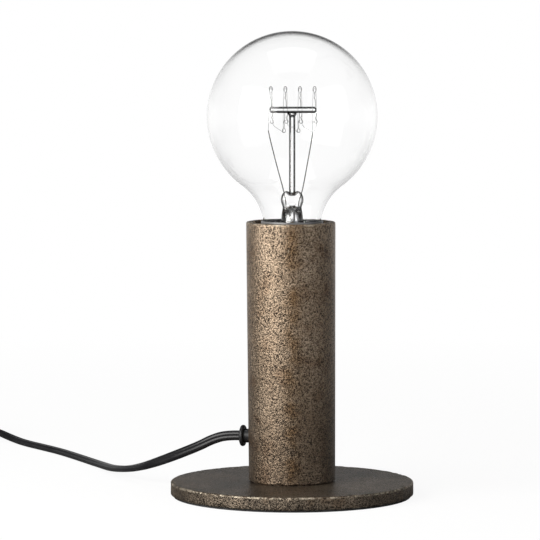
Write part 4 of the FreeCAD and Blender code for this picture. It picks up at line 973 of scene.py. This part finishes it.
def make_stem():
    """The stem: a trumpet-shaped flare, a tube, and a pressed heart-shaped end."""
    outer = [(0, PINCH_TOP), (1.8, PINCH_TOP), (3.3, PINCH_TOP - 0.1), (4.5, PINCH_TOP - 0.6),
             (5.5, 169.4), (6.15, 167.8), (6.35, 166.2), (6.2, 164.8), (5.75, 163.5),
             (5.35, 162.4), (5.3, 161.4), (5.5, 160.2), (5.8, 158.8), (6.0, 157.0), (6.1, 155.3),
             (6.25, 152.5), (6.6, 150.0), (7.4, 147.2), (8.8, 144.8), (10.4, 143.2),
             (11.5, 142.5), (11.5, 141.8)]
    inner = [(10.6, 141.8), (9.6, 142.6), (7.8, 144.4), (6.5, 147.0), (5.6, 150.0), (5.3, 153.0),
             (5.0, 155.5), (4.6, 157.5), (3.8, 159.2), (2.6, 160.5), (1.3, 161.2), (0, 161.4)]
    stem = turned("stem_pressed", outer + inner, 80)
    for vertex in stem.data.vertices:
        squeeze = 1 - 0.55 * ease(vertex.co.z / MM, 156.5, 164.0)
        squeeze += 0.35 * ease(vertex.co.z / MM, 168.8, 171.2)
        vertex.co.y *= squeeze
        dip = 1 - ease(abs(vertex.co.x) / MM, 0.9, 3.0)
        vertex.co.z -= 0.9 * MM * dip * ease(vertex.co.z / MM, 167.0, 171.2)
    oval = bar_tool(1.0, (0, -6, 163.8), (0, 6, 163.8), 32)
    for vertex in oval.data.vertices:
        vertex.co.x *= 1.9
    cut_away(stem, oval)
    clean(stem)
    smooth(stem, 50)
    hand_over(stem, stem_glass, "bulb", "clear_glass", "stem_glass")


def make_arbor():
    """The glass rod, the bar across its top and the closed tube that the bulb was emptied by."""
    section = [(0, 168.6), (1.5, 168.7), (1.75, 169.2), (1.75, 169.5), (1.75, 172),
               (1.75, 190), (1.75, 211.6), (1.8, 212.3), (2.05, 212.9), (2.4, 213.4),
               (2.55, 213.9), (2.35, 214.4), (1.5, 214.75), (0, 214.85)]
    rod = turned("arbor_rod_glass", section, 40)
    smooth(rod, 50)
    hand_over(rod, rod_glass, "bulb", "clear_glass", "arbor_rod")
    section = [(0, -BAR_HALF), (0.9, -BAR_HALF + 0.15), (1.5, -BAR_HALF + 0.5),
               (BAR_R, -BAR_HALF + 1.0), (BAR_R, -BAR_HALF + 1.3)]
    section += [(BAR_R, z) for z in (-8, -4, 0)]
    section += [(radius, -z) for radius, z in reversed(section[:-1])]
    bar = turned("crossbar_glass", section, 40)
    lying = Matrix.Rotation(math.pi / 2, 4, "Y")
    place(bar, Matrix.Translation((0.4 * MM, 0, BAR_Z * MM)) @ lying)
    clean(bar)
    smooth(bar, 50)
    hand_over(bar, rod_glass, "bulb", "clear_glass", "cross_bar")
    tube = turned("exhaust_tube_drawn", [
        (0, 137.3), (0.8, 137.5), (1.4, 138.3), (1.7, 139.6), (1.7, 140.5), (1.7, 162.4),
        (1.65, 162.9), (1.15, 162.9), (1.1, 162.4), (1.1, 141.0), (1.1, 140.2), (0.6, 139.3),
        (0, 139.1)], 32)
    smooth(tube, 50)
    hand_over(tube, stem_glass, "bulb", "clear_glass", "exhaust_tube")


make_stem()
make_arbor()


def eye_hook(x, start_z, eye_z, wide, tall):
    """A support wire from the bar, jogged halfway, to an open eye around the filament."""
    away = 1 if eye_z > start_z else -1
    middle = (start_z + eye_z) / 2
    points = [(x + 0.5, 0, start_z), (x + 0.5, 0, middle - away * 0.5), (x - 0.4, 0.3, middle),
              (x + 0.3, 0, middle + away * 0.9), (x, 0, eye_z - away * tall)]
    for k in range(9):
        angle = math.radians(-90 + 40 * k)
        points.append((x + wide * math.cos(angle), 0.1 * k,
                       eye_z + away * tall * math.sin(angle)))
    return points


def filament_points():
    """Up and down through the hooks, one hairpin after another, from lead to lead."""
    points = [LEFT_TIP]
    for i, x in enumerate(HAIRPINS):
        if i:
            points += [(x - 1.9, 0.3, LOOP_Z + 0.5), (x - 1.3, -0.2, LOOP_Z - 0.3),
                       (x - 1.2, -0.6, LOOP_Z + 1.2)]
        points += [(x - 1.15, -2.5, BAR_Z - 3.6), (x - 1.1, -2.5, BAR_Z + 3.6),
                   (x - 0.7, -0.4, TOP_EYE_Z - 0.9), (x, 0, TOP_EYE_Z + 0.3),
                   (x + 0.7, 0.4, TOP_EYE_Z - 0.9), (x + 1.1, 2.5, BAR_Z + 3.6),
                   (x + 1.15, 2.5, BAR_Z - 3.6), (x + 1.1, 0.4, LOW_EYE_Z + 0.6),
                   (x + 1.3, 0.2, LOW_EYE_Z - 1.4)]
        if i == 1:
            points += [(-1.0, 2.3, 207.0), (0.8, 2.3, 206.0)]
    return points + [RIGHT_TIP]


def make_mount():
    """The hooks, the filament and the two leads, each a bent or drawn wire."""
    sunk = BAR_R - 0.05
    upper = [eye_hook(x, BAR_Z + sunk, TOP_EYE_Z - 0.9, 0.95, 1.7) for x in HAIRPINS]
    lower = [eye_hook(x + 0.6, BAR_Z - sunk, LOW_EYE_Z + 0.9, 1.0, 1.0) for x in HAIRPINS]
    lower += [eye_hook(x - 0.8, BAR_Z - sunk, LOOP_Z + 0.9, 0.9, 1.2) for x in HAIRPINS[1:-1]]
    left = [(-13.2, 0, 204.6), (-13.2, 0, 203.4), (-9.2, 0, 187.3), (-4.6, 0, 170.6),
            (-3.2, 0, 166), (-3.2, 0, 157), (-3.4, 0, 148), (-4.6, 0, 142), (-10.5, 0, 133.4)]
    right = [(11.3, 0, 203.4), (11.3, 0, 202.0), (8.5, 0, 186.4), (5.6, 0, 170.2), (3.3, 0, 166),
             (3.2, 0, 157), (3.2, 0, 148), (2.4, 0, 140), (0, 0, 133), (0, 0, 126.6)]
    for name, strands, thickness, material, solid in (
            ("upper_hooks_bent", upper, 0.32, fine_wire, "upper_hooks"),
            ("lower_hooks_bent", lower, 0.30, fine_wire, "lower_hooks"),
            ("filament_looped", [filament_points()], 0.17, fine_wire, "filament"),
            ("lead_left_drawn", [left], 0.55, dark_wire, "lead_neutral"),
            ("lead_right_drawn", [right], 0.55, dark_wire, "lead_live")):
        hand_over(smooth(wire(name, strands, thickness), 60), material, "bulb", "dark_wire", solid)


make_mount()


# ------------------------------------------------------------------ switch, plug and tie
SWITCH_PLACE = Matrix.Translation((-0.210, 0.268, 0)) @ Matrix.Rotation(math.radians(135), 4, "Z")
PIVOT_Z = 12.0
ROCKER_REST = 9


def switch_plan(end, wide, narrow):
    """The switch seen from above: swollen in the middle and narrow at the cord."""
    near = []
    for i in range(17):
        t = i / 8 - 1
        near.append((end * t, -wide + (wide - narrow) * t * t))
    return near + [(-x, -y) for x, y in near]


def make_switch():
    """The switch: two half shells, the lower one open for its screws, and the tipped rocker."""
    plan = switch_plan(28.0, 11.0, 6.6)
    base = prism("switch_base_moulded", plan, 6.9, 0.0)
    round_edges(base, 1.2, 4, 50)
    for side in (-18, 18):
        cut_away(base, bar_tool(2.5, (side, 0, -1), (side, 0, 1.8)))
    cut_away(base, box_tool((-7.5, -4.8, 7.6), (7.5, 4.8, 9)))
    cover = prism("switch_cover_moulded", plan, 7.5, 7.1)
    cut_away(cover, box_tool((-7.5, -4.8, 8.4), (7.5, 4.8, 20)))
    round_edges(cover, 1.0, 4, 50)
    for piece in (base, cover):
        smooth(piece, 45)
        place(piece, SWITCH_PLACE)
    hand_over(base, moulded_black, "lamp", "black_plastic", "switch_base")
    hand_over(cover, moulded_black, "lamp", "black_plastic", "switch_cover")
    half = 6.95
    plan = [(-half, 16.0), (-half * 0.5, 15.35), (0, 15.0), (half * 0.5, 15.35), (half, 16.0),
            (half * 0.96, 12.2), (half * 0.4, 10.8), (-half * 0.4, 10.8), (-half * 0.96, 12.2)]
    rocker = prism("rocker_moulded", plan, 8.5, -4.25)
    place(rocker, Matrix.Rotation(math.pi / 2, 4, "X"))
    clean(rocker)
    round_edges(rocker, 0.4, 3, 30)
    smooth(rocker, 40)
    pivot = Matrix.Translation((0, 0, PIVOT_Z * MM))
    tilt = pivot @ Matrix.Rotation(math.radians(ROCKER_REST), 4, "Y") @ pivot.inverted()
    place(rocker, SWITCH_PLACE @ tilt)
    hand_over(rocker, moulded_black, "rocker", "black_plastic", "switch_rocker")


PLUG_PLACE = Matrix.Translation((-0.29685, 0.1604, 0)) @ Matrix.Rotation(-math.pi / 2, 4, "Z")
PLUG_THICK = 13.6
PIN_APART = 9.3


def make_plug():
    """The flat plug: a body that tapers towards its cord, with grip notches, and two pins."""
    side = [(0, -7), (6, -9.5), (13.6, -15.6), (20, -16.6), (34, -17)]
    body = prism("plug_moulded", side + [(x, -y) for x, y in reversed(side)], PLUG_THICK, 0.0)
    round_edges(body, 2.6, 5, 30)
    for i in range(4):
        for low in (-1.0, 13.0):
            cut_away(body, box_tool((5 + i * 3, -5, low), (6.3 + i * 3, 5, low + 1.6)))
    smooth(body, 40)
    place(body, PLUG_PLACE)
    hand_over(body, moulded_black, "lamp", "black_plastic", "plug_body")
    both = []
    for side in (-PIN_APART, PIN_APART):
        section = [(0, 28.0), (1.98, 28.0), (1.98, 50.5), (1.7, 52.2), (1.0, 53.0), (0, 53.0)]
        pin = turned("pin", section, 32)
        lying = Matrix.Rotation(math.pi / 2, 4, "Y")
        place(pin, PLUG_PLACE @ Matrix.Translation((0, side * MM, PLUG_THICK / 2 * MM)) @ lying)
        both.append(pin)
    deselect()
    for pin in both:
        pin.select_set(True)
    bpy.context.view_layer.objects.active = both[0]
    bpy.ops.object.join()
    pins = clean(call_it("plug_pins_turned"))
    smooth(pins, 40)
    hand_over(pins, nickel_pins, "lamp", "nickel_pins", "plug_pins")


def make_tie():
    """A soft strap round all the coil's turns on its right."""
    low, high = 0.35, 13.1
    near, far = COIL_CENTRE[0] + 15.7, COIL_CENTRE[0] + 36.2
    corner = 2.4
    plan = []
    for centre, start in (((far - corner, high - corner), 0), ((near + corner, high - corner), 90),
                          ((near + corner, low + corner), 180),
                          ((far - corner, low + corner), 270)):
        plan += arc(centre, corner, start, start + 90, 6)
    loop = prism("tie", plan, 6.0, -3.0)
    pick(loop)
    bpy.ops.object.mode_set(mode="EDIT")
    bpy.ops.mesh.select_mode(type="FACE")
    bpy.ops.mesh.select_all(action="DESELECT")
    bpy.ops.object.mode_set(mode="OBJECT")
    for face in loop.data.polygons:
        face.select = len(face.vertices) > 4
    bpy.ops.object.mode_set(mode="EDIT")
    bpy.ops.mesh.delete(type="FACE")
    bpy.ops.object.mode_set(mode="OBJECT")
    apply_modifier(loop, "SOLIDIFY", thickness=0.45 * MM, offset=1.0)
    round_edges(loop, 0.12, 2, 50)
    call_it("coil_tie_strap")
    upright = Matrix.Rotation(math.pi / 2, 4, "X")
    place(loop, Matrix.Translation((0, COIL_CENTRE[1] * MM, 0)) @ upright)
    clean(loop)
    smooth(loop, 40)
    hand_over(loop, moulded_black, "lamp", "black_plastic", "coil_tie")


make_switch()
make_plug()
make_tie()

# ------------------------------------------------------------------ CAD nodes that stay
KEPT = {
    "base_pad": pad_black, "base_screws": zinc_steel, "holder_plate": zinc_steel,
    "plate_screws": zinc_steel, "nipple": zinc_steel, "nipple_nuts": zinc_steel,
    "holder_insert": steatite, "terminal_screws": zinc_steel, "centre_contact": brass_sheet,
    "cap_cement": pale_cement, "inner_cord": satin_cord, "wire_neutral": wire_jacket,
    "wire_live": wire_jacket, "switch_screws": zinc_steel, "switch_contacts": brass_sheet,
    "rocker_pin": zinc_steel,
}
for node_name, material in KEPT.items():
    paint(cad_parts[node_name], material)
